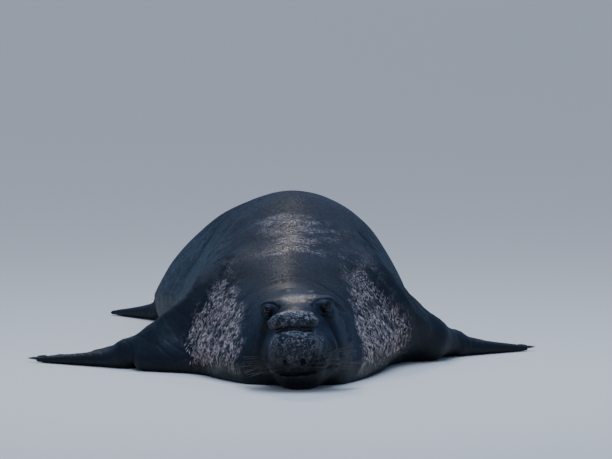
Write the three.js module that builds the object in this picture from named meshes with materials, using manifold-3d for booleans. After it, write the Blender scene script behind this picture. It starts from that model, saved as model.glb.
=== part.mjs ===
// A young bull elephant seal at life size, lying on its belly with its chin on the ground.
// Lengths are millimetres. Z is up from the ground, the animal faces -Y, and its left side is +X.
// The flesh is one smooth field of distances, meshed piece by piece and parted by thin cuts.
import * as THREE from "three";
import { mergeVertices } from "three/addons/utils/BufferGeometryUtils.js";
import Module from "manifold-3d";

const wasm = await Module();
wasm.setup();

const V = (x, y, z) => new THREE.Vector3(x, y, z);
const clamp = THREE.MathUtils.clamp;
const radians = THREE.MathUtils.degToRad;

const GAP = 0.3; // the gap that neighbours keep
const PRESSED = 14; // how far the flesh would reach below the ground if nothing pressed it flat
const WELD = 1e-3; // corners closer than this are one
const BARELY_OUT = 0.01; // the distance given to a grid corner that is put just outside

// The trunk, by its distance behind the chin: middle of the backbone, half width, height of the back, and
// height of the widest place. From the shoulder back it swings to the animal's right.
const TRUNK = {
  along: [250, 450, 650, 900, 1200, 1550, 1900, 2150, 2500, 2850, 3150, 3500],
  spine: [-55, -68, -78, -64, -45, -38, -40, -60, -145, -295, -430, -618],
  halfWidth: [240, 355, 438, 500, 545, 576, 586, 592, 592, 510, 362, 175],
  back: [395, 445, 500, 580, 665, 745, 806, 808, 755, 628, 470, 268],
  widest: [105, 115, 130, 165, 200, 225, 240, 245, 235, 200, 160, 110],
};
const BELLY_SAG = 150; // how far below the ground the trunk's lower curve aims
const ROOF = 1.78; // exponent of the trunk's upper curve: 2 is an ellipse, less is more gabled
const LEAN = 0.085; // how far the flanks are drawn in between the widest place and the back
const FLANK = 2.3; // exponent of the trunk's lower curve
const TRUNK_END = 3500;

// The fold of the breast that spreads over the ground in front of the right flipper.
const BREAST = { from: V(-430, 760, 60), to: V(-790, 900, 48), fromRadius: 90, toRadius: 62, blend: 90 };

// The head is turned and tipped about this place in the neck.
const HEAD_PIVOT = V(8, 470, 150);
const HEAD_YAW = radians(-6.5);
const HEAD_ROLL = radians(-5);

// The eyes, in the straight head's own frame.
const EYE = { at: V(118, 210, 372), gaze: V(0.6, -0.76, 0.25), radius: 30, sunk: 19, room: 0.3 };
const LID = { ring: 26, tube: 9, forward: 15, sides: 6, steps: 16 };

// The nostrils and the ear holes, and the groove of the closed mouth between its lips.
const NOSTRIL = { at: V(42, -96, 140), radii: V(14, 30, 24), splay: 0.3 };
const EAR = { at: V(190, 372, 300), radius: 12 };
const MOUTH = { groove: 9, grooveDepth: 11, lip: 34, lipHeight: 5, corner: 185, jawEnd: 330 };

// The claws of the front flippers.
const CLAW = { length: 58, radius: 8, sides: 6, sunk: 16, rise: 4, drop: 0.12 };

const smoothMin = (a, b, k) => {
  const h = Math.max(k - Math.abs(a - b), 0) / k;
  return Math.min(a, b) - (h * h * k) / 4;
};
const smoothMax = (a, b, k) => -smoothMin(-a, -b, k);

// A smooth curve through points that only turns where they do (Fritsch and Carlson's slopes).
function curveThrough(xs, ys) {
  const rise = xs.slice(1).map((x, i) => (ys[i + 1] - ys[i]) / (x - xs[i]));
  const slope = xs.map((_, i) => {
    if (i === 0 || i === xs.length - 1) return rise[Math.min(i, rise.length - 1)];
    const [a, b] = [rise[i - 1], rise[i]];
    return a * b <= 0 ? 0 : (2 * a * b) / (a + b);
  });
  return (x) => {
    let i = xs.findIndex((end) => x < end) - 1;
    if (i === -2) i = xs.length - 2;
    i = Math.max(i, 0);
    const width = xs[i + 1] - xs[i];
    const t = clamp((x - xs[i]) / width, 0, 1);
    const [t2, t3] = [t * t, t * t * t];
    return (
      ys[i] * (2 * t3 - 3 * t2 + 1) +
      ys[i + 1] * (3 * t2 - 2 * t3) +
      width * (slope[i] * (t3 - 2 * t2 + t) + slope[i + 1] * (t3 - t2))
    );
  };
}

const spineAt = curveThrough(TRUNK.along, TRUNK.spine);
const halfWidthAt = curveThrough(TRUNK.along, TRUNK.halfWidth);
const backAt = curveThrough(TRUNK.along, TRUNK.back);
const widestAt = curveThrough(TRUNK.along, TRUNK.widest);

// The distance from a closed curve round a centre, measured along the line to the centre.
function fromOval(u, v, a, b, exponent) {
  const ratio = (Math.abs(u / a) ** exponent + Math.abs(v / b) ** exponent) ** (1 / exponent);
  return ratio < 1e-6 ? -Math.min(a, b) : Math.hypot(u, v) * (1 - 1 / ratio);
}

function trunkField(x, y, z) {
  const widest = widestAt(y);
  const u = x - spineAt(y);
  const v = z - widest;
  const upper = backAt(y) - widest;
  const share = clamp(v / upper, 0, 1);
  const half = halfWidthAt(y) / (1 + 4 * LEAN * share * (1 - share));
  const ring = v > 0 ? fromOval(u, v, half, upper, ROOF) : fromOval(u, v, half, widest + BELLY_SAG, FLANK);
  const front = TRUNK.along[0] - y;
  return smoothMax(smoothMax(ring, front, 60), y - TRUNK_END, 120);
}

// An ellipsoid, turned about X so that its front end dips by a slope.
function ellipsoid(centre, radii, slope = 0) {
  const [c, s] = [Math.cos(slope), Math.sin(slope)];
  return (x, y, z) => {
    const [dx, dy, dz] = [x - centre.x, y - centre.y, z - centre.z];
    const [ly, lz] = [c * dy + s * dz, -s * dy + c * dz];
    const ratio = Math.hypot(dx / radii.x, ly / radii.y, lz / radii.z);
    return ratio < 1e-6 ? -Math.min(radii.x, radii.y, radii.z) : Math.hypot(dx, dy, dz) * (1 - 1 / ratio);
  };
}

// A limb that tapers between two places, flattened in height by a share.
function taper(from, to, fromRadius, toRadius, flatness = 1) {
  const run = V(0, 0, 0).subVectors(to, from);
  const span = run.lengthSq();
  return (x, y, z) => {
    const [dx, dy, dz] = [x - from.x, y - from.y, z - from.z];
    const h = clamp((dx * run.x + dy * run.y + dz * run.z) / span, 0, 1);
    const away = Math.hypot(dx - h * run.x, dy - h * run.y, (dz - h * run.z) / flatness);
    return away - (fromRadius + (toRadius - fromRadius) * h);
  };
}

// The head, each side alike. Every form is in the straight head's own frame.
const HEAD_FORMS = [
  { form: ellipsoid(V(0, 340, 232), V(196, 265, 196)), blend: 40 }, // skull and crown
  { form: ellipsoid(V(0, 120, 190), V(158, 190, 128)), blend: 50 }, // upper jaw
  { form: ellipsoid(V(0, 150, 72), V(128, 190, 92)), blend: 20 }, // lower jaw and chin
  { form: ellipsoid(V(112, 285, 150), V(92, 190, 128)), blend: 60 }, // cheek
  { form: ellipsoid(V(86, 50, 136), V(66, 92, 62)), blend: 26 }, // whisker pad
  { form: ellipsoid(V(0, 250, 330), V(175, 120, 96)), blend: 40 }, // face between and below the eyes
  { form: ellipsoid(V(104, 250, 398), V(80, 84, 34)), blend: 40 }, // brow
];
const NOSE_FORMS = [
  { form: ellipsoid(V(0, 150, 335), V(112, 150, 72), 0.1), blend: 30 }, // bridge
  { form: ellipsoid(V(0, -10, 330), V(126, 66, 62)), blend: 10 }, // arched roll between the two creases
  { form: ellipsoid(V(0, -18, 203), V(126, 104, 122), 0.05), blend: 14 }, // drooping tip
];

const headTurn = new THREE.Matrix4()
  .makeTranslation(HEAD_PIVOT)
  .multiply(new THREE.Matrix4().makeRotationZ(HEAD_YAW))
  .multiply(new THREE.Matrix4().makeRotationY(HEAD_ROLL))
  .multiply(new THREE.Matrix4().makeTranslation(HEAD_PIVOT.clone().setX(0).negate()));
const headStraighten = headTurn.clone().invert();
const scratch = V(0, 0, 0);

function headField(x, y, z) {
  const p = scratch.set(x, y, z).applyMatrix4(headStraighten);
  const side = Math.abs(p.x);
  let d = Infinity;
  for (const { form, blend } of HEAD_FORMS) d = smoothMin(d, form(side, p.y, p.z), blend);
  for (const { form, blend } of NOSE_FORMS) d = smoothMin(d, form(side, p.y, p.z), blend);
  return d;
}

// The four flippers. Each runs from the trunk by a joint and a second joint to five digits in a web. A heading is
// in degrees from +X towards +Y, and turn says on which side of it the first digit lies.
const FLIPPERS = {
  foreflipper_right: {
    trunk: V(-330, 1090, 315), joint: V(-700, 1000, 125), wrist: V(-880, 1040, 80), reach: 540, heading: 139, turn: -1,
  },
  foreflipper_left: {
    trunk: V(284, 1200, 288), joint: V(598, 1390, 112), wrist: V(745, 1620, 66), reach: 450, heading: 44, turn: 1,
  },
  hindflipper_right: {
    trunk: V(-570, 3240, 150), joint: V(-700, 3390, 122), wrist: V(-750, 3430, 104), reach: 440, heading: 114, turn: 1,
  },
  hindflipper_left: {
    trunk: V(-540, 3260, 140), joint: V(-545, 3480, 92), wrist: V(-530, 3560, 78), reach: 440, heading: 88, turn: 1,
  },
};

// The thickness of the front and the hind flippers, and the spread of their digits. The first digit of a front
// flipper leads and is the longest but one, and the outer two of a hind flipper are the longest.
const FORE = {
  radii: [215, 118, 72], palm: 34, digitRoot: 36, digitTip: 14, rootHeight: 44, blends: [150, 60, 50, 40], roll: 0,
  digits: [
    { spread: -9, length: 0.95, start: -48 },
    { spread: -2, length: 1.0, start: -24 },
    { spread: 6, length: 0.94, start: 0 },
    { spread: 14, length: 0.84, start: 24 },
    { spread: 23, length: 0.71, start: 46 },
  ],
};
const HIND = {
  radii: [135, 78, 62], palm: 36, digitRoot: 36, digitTip: 14, rootHeight: 58, blends: [90, 60, 50, 40], roll: 0.16,
  digits: [
    { spread: -15, length: 0.96, start: -40 },
    { spread: -7, length: 0.84, start: -20 },
    { spread: 0, length: 0.78, start: 0 },
    { spread: 7, length: 0.85, start: 20 },
    { spread: 15, length: 1.0, start: 40 },
  ],
};
const TAIL = {
  root: V(-640, 3440, 120), tip: V(-684, 3585, 66), rootRadius: 58, tipRadius: 26, flatness: 0.7, blend: 40,
};

// The web between two digits: rays of a share of the way across, drawn back from the digits' tips.
const WEB = { shares: [1 / 3, 2 / 3], root: 0.8, tip: 0.66, drawnBack: 0.07 };

// Where each digit of a flipper runs, from its root by the wrist to its tip on the ground.
function digitLines(limb, build) {
  const heading = V(Math.cos(radians(limb.heading)), Math.sin(radians(limb.heading)), 0);
  const normal = V(0, 0, 1).applyAxisAngle(heading, -build.roll * limb.turn);
  const across = normal.clone().cross(heading).multiplyScalar(limb.turn);
  return build.digits.map(({ spread, length, start }) => {
    const from = limb.wrist.clone().setZ(build.rootHeight).addScaledVector(across, start);
    const along = heading.clone().applyAxisAngle(normal, radians(spread) * limb.turn);
    const to = from.clone().addScaledVector(along, limb.reach * length);
    from.z = Math.max(from.z, build.digitRoot);
    to.z = build.digitTip + Math.max(to.z - build.rootHeight, 0);
    return { from, to };
  });
}
// Every form of a flipper: the arm, the palm, the digits, and the thinner rays of the web between them.
function flipperForms(limb, build) {
  const [byTrunk, byJoint, byWrist, inWeb] = build.blends;
  const [trunkRadius, jointRadius, wristRadius] = build.radii;
  const lines = digitLines(limb, build);
  const palm = limb.wrist.clone().lerp(lines[2].to, 0.45);
  const forms = [
    { form: taper(limb.trunk, limb.joint, trunkRadius, jointRadius), blend: byTrunk },
    { form: taper(limb.joint, limb.wrist, jointRadius, wristRadius, 0.9), blend: byJoint },
    { form: taper(limb.wrist, palm, wristRadius, build.palm, 0.8), blend: byWrist },
  ];
  for (const { from, to } of lines)
    forms.push({ form: taper(from, to, build.digitRoot, build.digitTip), blend: inWeb });
  for (let i = 1; i < lines.length; i++)
    for (const share of WEB.shares) {
      const from = lines[i - 1].from.clone().lerp(lines[i].from, share);
      const to = lines[i - 1].to.clone().lerp(lines[i].to, share).lerp(from, WEB.drawnBack);
      to.z -= build.digitTip * (1 - WEB.tip) * 0.6;
      forms.push({ form: taper(from, to, build.digitRoot * WEB.root, build.digitTip * WEB.tip), blend: inWeb });
    }
  return forms;
}

const buildOf = (name) => (name.startsWith("fore") ? FORE : HIND);
const limbForms = Object.entries(FLIPPERS).flatMap(([name, limb]) => flipperForms(limb, buildOf(name)));
limbForms.push(
  { form: taper(TAIL.root, TAIL.tip, TAIL.rootRadius, TAIL.tipRadius, TAIL.flatness), blend: TAIL.blend },
  { form: taper(BREAST.from, BREAST.to, BREAST.fromRadius, BREAST.toRadius), blend: BREAST.blend },
);

// The whole flesh: negative inside. It stops a little below the ground, where the pieces are cut flat.
function fleshField(x, y, z) {
  let d = smoothMin(trunkField(x, y, z), headField(x, y, z), 90);
  for (const { form, blend } of limbForms) d = smoothMin(d, form(x, y, z), blend);
  return smoothMax(d, -PRESSED - z, 24);
}

// Grid lines from runs of [start, end, step].
const gridLines = (...runs) =>
  runs.flatMap(([from, to, step], i) => {
    const count = Math.max(1, Math.round((to - from) / step));
    return Array.from({ length: count + (i === runs.length - 1 ? 1 : 0) }, (_, n) => from + ((to - from) * n) / count);
  });

// Where four grid corners in a square lie in and out by turns, the surface would pinch to a line there. The
// shallower inner corner of the two is put outside, until no such square is left.
function unpinch(value, counts, at) {
  const strides = [at(1, 0, 0), at(0, 1, 0), at(0, 0, 1)];
  const [nx, ny, nz] = counts;
  let changed = true;
  for (let round = 0; changed && round < 8; round++) {
    changed = false;
    for (let k = 0; k < nz - 1; k++)
      for (let j = 0; j < ny - 1; j++)
        for (let i = 0; i < nx - 1; i++)
          for (let axis = 0; axis < 3; axis++) {
            const [u, v] = [strides[axis], strides[(axis + 1) % 3]];
            const corner = at(i, j, k);
            const inside = [corner, corner + u, corner + u + v, corner + v].map((n) => value[n] < 0);
            if (inside[0] !== inside[2] || inside[1] !== inside[3] || inside[0] === inside[1]) continue;
            const pair = inside[0] ? [corner, corner + u + v] : [corner + u, corner + v];
            value[value[pair[0]] > value[pair[1]] ? pair[0] : pair[1]] = BARELY_OUT;
            changed = true;
          }
  }
}

// A closed mesh of a field's zero surface inside a grid: one vertex in each cell that the surface
// crosses, moved on to the surface, and one quad for each grid edge that it crosses.
function surfaceOf(field, xs, ys, zs) {
  const [nx, ny, nz] = [xs.length, ys.length, zs.length];
  const inset = 0.5;
  const closed = (x, y, z) =>
    Math.max(
      field(x, y, z),
      xs[0] + inset - x, x - xs[nx - 1] + inset,
      ys[0] + inset - y, y - ys[ny - 1] + inset,
      zs[0] + inset - z, z - zs[nz - 1] + inset,
    );
  const at = (i, j, k) => (k * ny + j) * nx + i;
  const value = new Float64Array(nx * ny * nz);
  for (let k = 0; k < nz; k++)
    for (let j = 0; j < ny; j++)
      for (let i = 0; i < nx; i++) value[at(i, j, k)] = closed(xs[i], ys[j], zs[k]);
  unpinch(value, [nx, ny, nz], at);

  const positions = [];
  const vertexOf = new Int32Array(nx * ny * nz).fill(-1);
  const step = 0.5;
  const settle = (p, reach) => {
    const start = p.clone();
    for (let round = 0; round < 4; round++) {
      const d = closed(p.x, p.y, p.z);
      const slope = V(
        closed(p.x + step, p.y, p.z) - closed(p.x - step, p.y, p.z),
        closed(p.x, p.y + step, p.z) - closed(p.x, p.y - step, p.z),
        closed(p.x, p.y, p.z + step) - closed(p.x, p.y, p.z - step),
      ).divideScalar(2 * step);
      p.addScaledVector(slope, -d / Math.max(slope.lengthSq(), 0.2));
    }
    return p.sub(start).clampLength(0, reach).add(start);
  };
  for (let k = 0; k < nz - 1; k++)
    for (let j = 0; j < ny - 1; j++)
      for (let i = 0; i < nx - 1; i++) {
        const sum = V(0, 0, 0);
        let crossings = 0;
        for (const [a, b] of CELL_EDGES) {
          const from = value[at(i + a[0], j + a[1], k + a[2])];
          const to = value[at(i + b[0], j + b[1], k + b[2])];
          if (from < 0 === to < 0) continue;
          const t = from / (from - to);
          sum.x += xs[i + a[0]] + t * (xs[i + b[0]] - xs[i + a[0]]);
          sum.y += ys[j + a[1]] + t * (ys[j + b[1]] - ys[j + a[1]]);
          sum.z += zs[k + a[2]] + t * (zs[k + b[2]] - zs[k + a[2]]);
          crossings++;
        }
        if (!crossings) continue;
        const reach = 0.45 * Math.min(xs[i + 1] - xs[i], ys[j + 1] - ys[j], zs[k + 1] - zs[k]);
        const p = settle(sum.divideScalar(crossings), reach);
        vertexOf[at(i, j, k)] = positions.length / 3;
        positions.push(p.x, p.y, p.z);
      }

  const index = [];
  const quad = (a, b, c, d, flip) => (flip ? index.push(a, c, b, a, d, c) : index.push(a, b, c, a, c, d));
  for (let k = 0; k < nz - 1; k++)
    for (let j = 0; j < ny - 1; j++)
      for (let i = 0; i < nx - 1; i++) {
        const here = value[at(i, j, k)] < 0;
        const cell = (di, dj, dk) => vertexOf[at(i - di, j - dj, k - dk)];
        if (here !== value[at(i + 1, j, k)] < 0) quad(cell(0, 1, 1), cell(0, 0, 1), cell(0, 0, 0), cell(0, 1, 0), !here);
        if (here !== value[at(i, j + 1, k)] < 0) quad(cell(1, 0, 1), cell(1, 0, 0), cell(0, 0, 0), cell(0, 0, 1), !here);
        if (here !== value[at(i, j, k + 1)] < 0) quad(cell(1, 1, 0), cell(0, 1, 0), cell(0, 0, 0), cell(1, 0, 0), !here);
      }
  return new THREE.BufferGeometry()
    .setAttribute("position", new THREE.Float32BufferAttribute(positions, 3))
    .setIndex(index);
}

// The twelve edges of a grid cell, as pairs of corners.
const CELL_EDGES = [0, 1, 2].flatMap((axis) =>
  [[0, 0], [0, 1], [1, 0], [1, 1]].map(([u, v]) => {
    const corner = (w) => {
      const c = [u, v];
      c.splice(axis, 0, w);
      return c;
    };
    return [corner(0), corner(1)];
  }),
);

// A closed three.js geometry as a manifold-3d solid.
function solid(geometry) {
  const bare = geometry.clone();
  for (const name of Object.keys(bare.attributes)) if (name !== "position") bare.deleteAttribute(name);
  const merged = mergeVertices(bare, WELD);
  return new wasm.Manifold(
    new wasm.Mesh({
      numProp: 3,
      vertProperties: new Float32Array(merged.attributes.position.array),
      triVerts: new Uint32Array(merged.index.array),
    }),
  );
}

function geometryOf(made) {
  const mesh = made.getMesh();
  const positions = new Float32Array(mesh.numVert * 3);
  for (let i = 0; i < mesh.numVert; i++)
    positions.set(mesh.vertProperties.subarray(i * mesh.numProp, i * mesh.numProp + 3), i * 3);
  const geometry = new THREE.BufferGeometry()
    .setAttribute("position", new THREE.BufferAttribute(positions, 3))
    .setIndex(new THREE.BufferAttribute(new Uint32Array(mesh.triVerts), 1));
  geometry.computeVertexNormals();
  return geometry;
}

// The largest closed surface of a solid, with any sealed hollow filled.
const largest = (made) => made.decompose().reduce((best, piece) => (piece.volume() > best.volume() ? piece : best));

// A cutting plane through a place. Its normal points to what is beyond it.
const plane = (at, normal) => ({ at, normal: normal.normalize() });
const HUGE = 12000;

// Everything on one side of a plane, short of it by half the gap, or by another distance.
function sideOf({ at, normal }, side, short = GAP / 2) {
  const block = new THREE.BoxGeometry(HUGE, HUGE, HUGE);
  const outward = normal.clone().multiplyScalar(side);
  block.applyQuaternion(new THREE.Quaternion().setFromUnitVectors(V(0, 0, 1), outward));
  const middle = at.clone().addScaledVector(outward, HUGE / 2 + short);
  return solid(block.translate(middle.x, middle.y, middle.z));
}
const beyond = (cut) => sideOf(cut, 1);
const before = (cut) => sideOf(cut, -1);

const inHead = (v) => v.clone().applyMatrix4(headTurn);
const inHeadDirection = (v) => v.clone().transformDirection(headTurn);

const CUTS = {
  ground: { at: V(0, 0, -GAP / 2), normal: V(0, 0, 1) },
  nape: plane(V(0, 545, 0), V(0, 1, 0.1)),
  collar: plane(V(0, 850, 0), V(0, 1, 0.08)),
  ribs: plane(V(0, 1560, 0), V(0.02, 1, 0)),
  waist: plane(V(0, 2250, 0), V(-0.18, 1, 0)),
  hips: plane(V(spineAt(2850), 2850, 0), V(-0.34, 1, 0)),
  stern: plane(V(spineAt(3390), 3390, 0), V(-0.5, 1, 0)),
  rightArm: plane(V(-650, 1030, 0), V(-1, 0.08, 0)),
  leftArm: plane(V(600, 1360, 0), V(1, -0.12, 0)),
  nose: plane(inHead(V(0, 118, 400)), inHeadDirection(V(0, -0.88, 0.47))),
  mouth: plane(inHead(V(0, -20, 82)), inHeadDirection(V(0, 0.09, -1))),
  mouthCorner: plane(inHead(V(0, MOUTH.corner, 0)), inHeadDirection(V(0, 1, 0))),
  throat: plane(inHead(V(0, MOUTH.jawEnd, 0)), inHeadDirection(V(0, 1, -0.5))),
  tailRight: plane(V(-704, 3500, 0), V(-0.954, -0.3, 0)),
  tailLeft: plane(V(-606, 3505, 0), V(0.954, 0.3, 0)),
};

// Meshes the flesh inside a box of grid lines and keeps what is inside all the given sides.
function flesh(lines, ...sides) {
  let made = solid(surfaceOf(fleshField, ...lines));
  for (const side of [beyond(CUTS.ground), ...sides]) made = made.intersect(side);
  return largest(made);
}

// A slice of the head along the mouth, of a width, in front of the mouth's corners.
function mouthSlice(width) {
  const shift = CUTS.mouth.normal.clone().multiplyScalar(width / 2 + GAP / 2);
  const above = plane(CUTS.mouth.at.clone().add(shift), CUTS.mouth.normal.clone());
  const below = plane(CUTS.mouth.at.clone().sub(shift), CUTS.mouth.normal.clone());
  return before(above).intersect(beyond(below)).intersect(before(CUTS.mouthCorner));
}

// The skin of the head moved out by a distance, or in by a negative one.
const HEAD_GRID = [
  gridLines([-520, -220, 56], [-220, 220, 28], [220, 430, 56]),
  gridLines([-180, 290, 28], [290, 600, 56]),
  gridLines([-30, 440, 28], [440, 520, 40]),
];
const headMoved = (by) => solid(surfaceOf((x, y, z) => fleshField(x, y, z) - by, ...HEAD_GRID));

// From a place inside the flesh, the way out along a direction.
function surfaceAlong(from, direction) {
  const p = from.clone();
  for (let round = 0; round < 60; round++) p.addScaledVector(direction, -0.6 * fleshField(p.x, p.y, p.z));
  return p;
}

// Where each eye lies, with its gaze.
const eyes = [-1, 1].map((side) => {
  const gaze = inHeadDirection(EYE.gaze.clone().setX(side * EYE.gaze.x));
  const surface = surfaceAlong(inHead(EYE.at.clone().setX(side * EYE.at.x)), gaze);
  return { gaze, centre: surface.addScaledVector(gaze, -EYE.sunk) };
});

const ball = (centre, radius, segments = 16) =>
  solid(new THREE.SphereGeometry(radius, segments, Math.round(segments * 0.7)).translate(centre.x, centre.y, centre.z));

// The rolled rim of the two lids, round the eyeball.
function lidRing({ centre, gaze }) {
  const ring = new THREE.TorusGeometry(LID.ring, LID.tube, LID.sides, LID.steps);
  ring.applyQuaternion(new THREE.Quaternion().setFromUnitVectors(V(0, 0, 1), gaze));
  const at = centre.clone().addScaledVector(gaze, LID.forward);
  return solid(ring.translate(at.x, at.y, at.z));
}

// The slit of a nostril.
function nostril(side) {
  const hole = new THREE.SphereGeometry(1, 12, 8).scale(NOSTRIL.radii.x, NOSTRIL.radii.y, NOSTRIL.radii.z);
  hole.rotateY(side * NOSTRIL.splay).translate(side * NOSTRIL.at.x, NOSTRIL.at.y, NOSTRIL.at.z);
  return solid(hole.applyMatrix4(headTurn));
}

function earHole(side) {
  const outward = inHeadDirection(V(side, 0.1, 0.25).normalize());
  const from = inHead(EAR.at.clone().setX(side * EAR.at.x * 0.6));
  return ball(surfaceAlong(from, outward), EAR.radius, 10);
}

// A claw on the end of a front flipper's digit, pointing along it and a little down.
function claw({ from, to }) {
  const along = V(0, 0, 0).subVectors(to, from).setZ(0).normalize().setZ(-CLAW.drop).normalize();
  const cone = new THREE.ConeGeometry(CLAW.radius, CLAW.length, CLAW.sides).translate(0, CLAW.length / 2, 0);
  cone.applyQuaternion(new THREE.Quaternion().setFromUnitVectors(V(0, 1, 0), along));
  const root = to.clone().addScaledVector(along, FORE.digitTip - CLAW.sunk);
  return solid(cone.translate(root.x, root.y, root.z + CLAW.rise));
}

const withClaws = (made, name) => digitLines(FLIPPERS[name], FORE).reduce((sum, line) => sum.add(claw(line)), made);

let face = flesh(HEAD_GRID, before(CUTS.nape));
face = face.add(headMoved(MOUTH.lipHeight).intersect(mouthSlice(MOUTH.lip)).intersect(beyond(CUTS.ground)));
face = face.subtract(mouthSlice(MOUTH.groove).subtract(headMoved(-MOUTH.grooveDepth)));
for (const eye of eyes) face = face.add(lidRing(eye)).subtract(ball(eye.centre, EYE.radius + EYE.room));
for (const side of [-1, 1]) face = face.subtract(nostril(side)).subtract(earHole(side));

const jawRoom = sideOf(CUTS.mouth, 1, -GAP / 2).intersect(sideOf(CUTS.throat, -1, -GAP / 2));

const belly = [-30, 60, 30];
const bladeLow = [-24, 48, 12];
const bodyNodes = {
  head: face.intersect(before(CUTS.nose)).subtract(jawRoom),
  proboscis: face.intersect(beyond(CUTS.nose)).intersect(before(CUTS.mouth)),
  lower_jaw: face.intersect(beyond(CUTS.mouth)).intersect(before(CUTS.throat)),
  eye_right: ball(eyes[0].centre, EYE.radius),
  eye_left: ball(eyes[1].centre, EYE.radius),
  neck: flesh(
    [gridLines([-760, 600, 62]), gridLines([440, 960, 60]), gridLines(belly, [60, 720, 60])],
    beyond(CUTS.nape), before(CUTS.collar), before(CUTS.rightArm),
  ),
  chest: flesh(
    [gridLines([-900, 900, 74]), gridLines([740, 1680, 78]), gridLines(belly, [60, 860, 70])],
    beyond(CUTS.collar), before(CUTS.ribs), before(CUTS.rightArm), before(CUTS.leftArm),
  ),
  barrel: flesh(
    [gridLines([-900, 700, 90]), gridLines([1460, 2480, 96]), gridLines(belly, [60, 900, 80])],
    beyond(CUTS.ribs), before(CUTS.waist), before(CUTS.leftArm),
  ),
  loin: flesh(
    [gridLines([-1060, 520, 84]), gridLines([2050, 3130, 90]), gridLines(belly, [60, 900, 76])],
    beyond(CUTS.waist), before(CUTS.hips),
  ),
  rump: flesh(
    [gridLines([-1160, 100, 66]), gridLines([2650, 3700, 68]), gridLines(belly, [60, 720, 60])],
    beyond(CUTS.hips), before(CUTS.stern),
  ),
  tail: flesh(
    [gridLines([-820, -500, 26]), gridLines([3340, 3720, 28]), gridLines([-30, 60, 18], [60, 300, 28])],
    beyond(CUTS.stern), before(CUTS.tailRight), before(CUTS.tailLeft),
  ),
  foreflipper_right: flesh(
    [gridLines([-1460, -600, 40]), gridLines([720, 1640, 40]), gridLines(bladeLow, [48, 500, 42])],
    beyond(CUTS.rightArm),
  ),
  foreflipper_left: flesh(
    [gridLines([540, 1240, 40]), gridLines([1020, 2180, 40]), gridLines(bladeLow, [48, 500, 42])],
    beyond(CUTS.leftArm),
  ),
  hindflipper_right: flesh(
    [gridLines([-1120, -620, 32]), gridLines([3240, 4020, 34]), gridLines(bladeLow, [48, 320, 34])],
    beyond(CUTS.stern), beyond(CUTS.tailRight),
  ),
  hindflipper_left: flesh(
    [gridLines([-840, -260, 32]), gridLines([3280, 4100, 34]), gridLines(bladeLow, [48, 320, 34])],
    beyond(CUTS.stern), beyond(CUTS.tailLeft),
  ),
};
for (const name of ["foreflipper_right", "foreflipper_left"])
  bodyNodes[name] = withClaws(bodyNodes[name], name);

const skin = (color, roughness = 0.4) => new THREE.MeshStandardMaterial({ color, roughness, metalness: 0 });
const WET_SLATE = 0x2c3742;
const MATERIALS = {
  head: skin(0x2a333c),
  proboscis: skin(0x272d34),
  lower_jaw: skin(0x23282e),
  neck: skin(0x3a3d42),
  eye: skin(0x0a0908, 0.06),
};

const seal = new THREE.Group();
function addNode(name, made, material) {
  const whole = largest(solid(geometryOf(largest(made))));
  const mesh = new THREE.Mesh(geometryOf(whole), material);
  mesh.name = name;
  seal.add(mesh);
}

for (const [name, made] of Object.entries(bodyNodes)) {
  const material = name.startsWith("eye") ? MATERIALS.eye : MATERIALS[name];
  addNode(name, made, material ?? skin(WET_SLATE));
}

// Stand the part over its own middle.
const box = new THREE.Box3().setFromObject(seal, true);
const middle = box.getCenter(V(0, 0, 0));
seal.position.set(-middle.x, -middle.y, 0);

export default seal;
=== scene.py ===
"""A young bull elephant seal at life size, lying on its belly with its chin on the ground.

The skin is one closed surface grown from the same forms as the solids, a coat's depth inside them. The
eyes, claws, whiskers, scars and tufts of coat are pieces of their own. The tables below are in millimetres,
in the seal's own frame: x to its left, y back from its chin, z up from the ground.
"""

import math

import bpy
import numpy as np
from bpy.props import FloatProperty, FloatVectorProperty, IntProperty, PointerProperty
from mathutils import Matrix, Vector
from mathutils.geometry import delaunay_2d_cdt


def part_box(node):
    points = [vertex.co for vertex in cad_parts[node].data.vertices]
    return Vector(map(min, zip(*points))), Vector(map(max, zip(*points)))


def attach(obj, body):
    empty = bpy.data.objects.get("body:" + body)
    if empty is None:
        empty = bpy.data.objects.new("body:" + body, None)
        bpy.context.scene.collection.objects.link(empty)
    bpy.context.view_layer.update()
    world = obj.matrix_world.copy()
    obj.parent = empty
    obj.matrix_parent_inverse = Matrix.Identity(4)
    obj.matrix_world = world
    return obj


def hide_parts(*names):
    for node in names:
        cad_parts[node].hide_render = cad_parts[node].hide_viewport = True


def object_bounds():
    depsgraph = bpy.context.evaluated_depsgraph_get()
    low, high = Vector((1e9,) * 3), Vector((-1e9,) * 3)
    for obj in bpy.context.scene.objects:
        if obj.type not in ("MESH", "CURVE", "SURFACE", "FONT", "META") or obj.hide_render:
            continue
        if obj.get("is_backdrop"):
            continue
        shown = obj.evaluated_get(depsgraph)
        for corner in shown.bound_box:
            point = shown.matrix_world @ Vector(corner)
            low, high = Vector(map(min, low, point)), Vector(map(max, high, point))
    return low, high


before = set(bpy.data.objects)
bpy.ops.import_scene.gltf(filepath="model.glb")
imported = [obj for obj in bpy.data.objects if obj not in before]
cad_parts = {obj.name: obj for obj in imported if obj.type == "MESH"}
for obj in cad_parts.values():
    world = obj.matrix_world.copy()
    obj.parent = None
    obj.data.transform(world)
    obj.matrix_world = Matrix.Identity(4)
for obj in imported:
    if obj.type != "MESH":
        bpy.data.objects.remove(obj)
CAD_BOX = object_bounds()

bl_info = {
    "name": "Elephant seal",
    "version": (1, 0, 0),
    "blender": (4, 5, 0),
    "location": "3D View > Sidebar > Seal",
    "description": "Builds a life-size elephant seal with its skin, eyes, claws, whiskers, scars and coat",
    "category": "Object",
}


# The seal's forms

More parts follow.
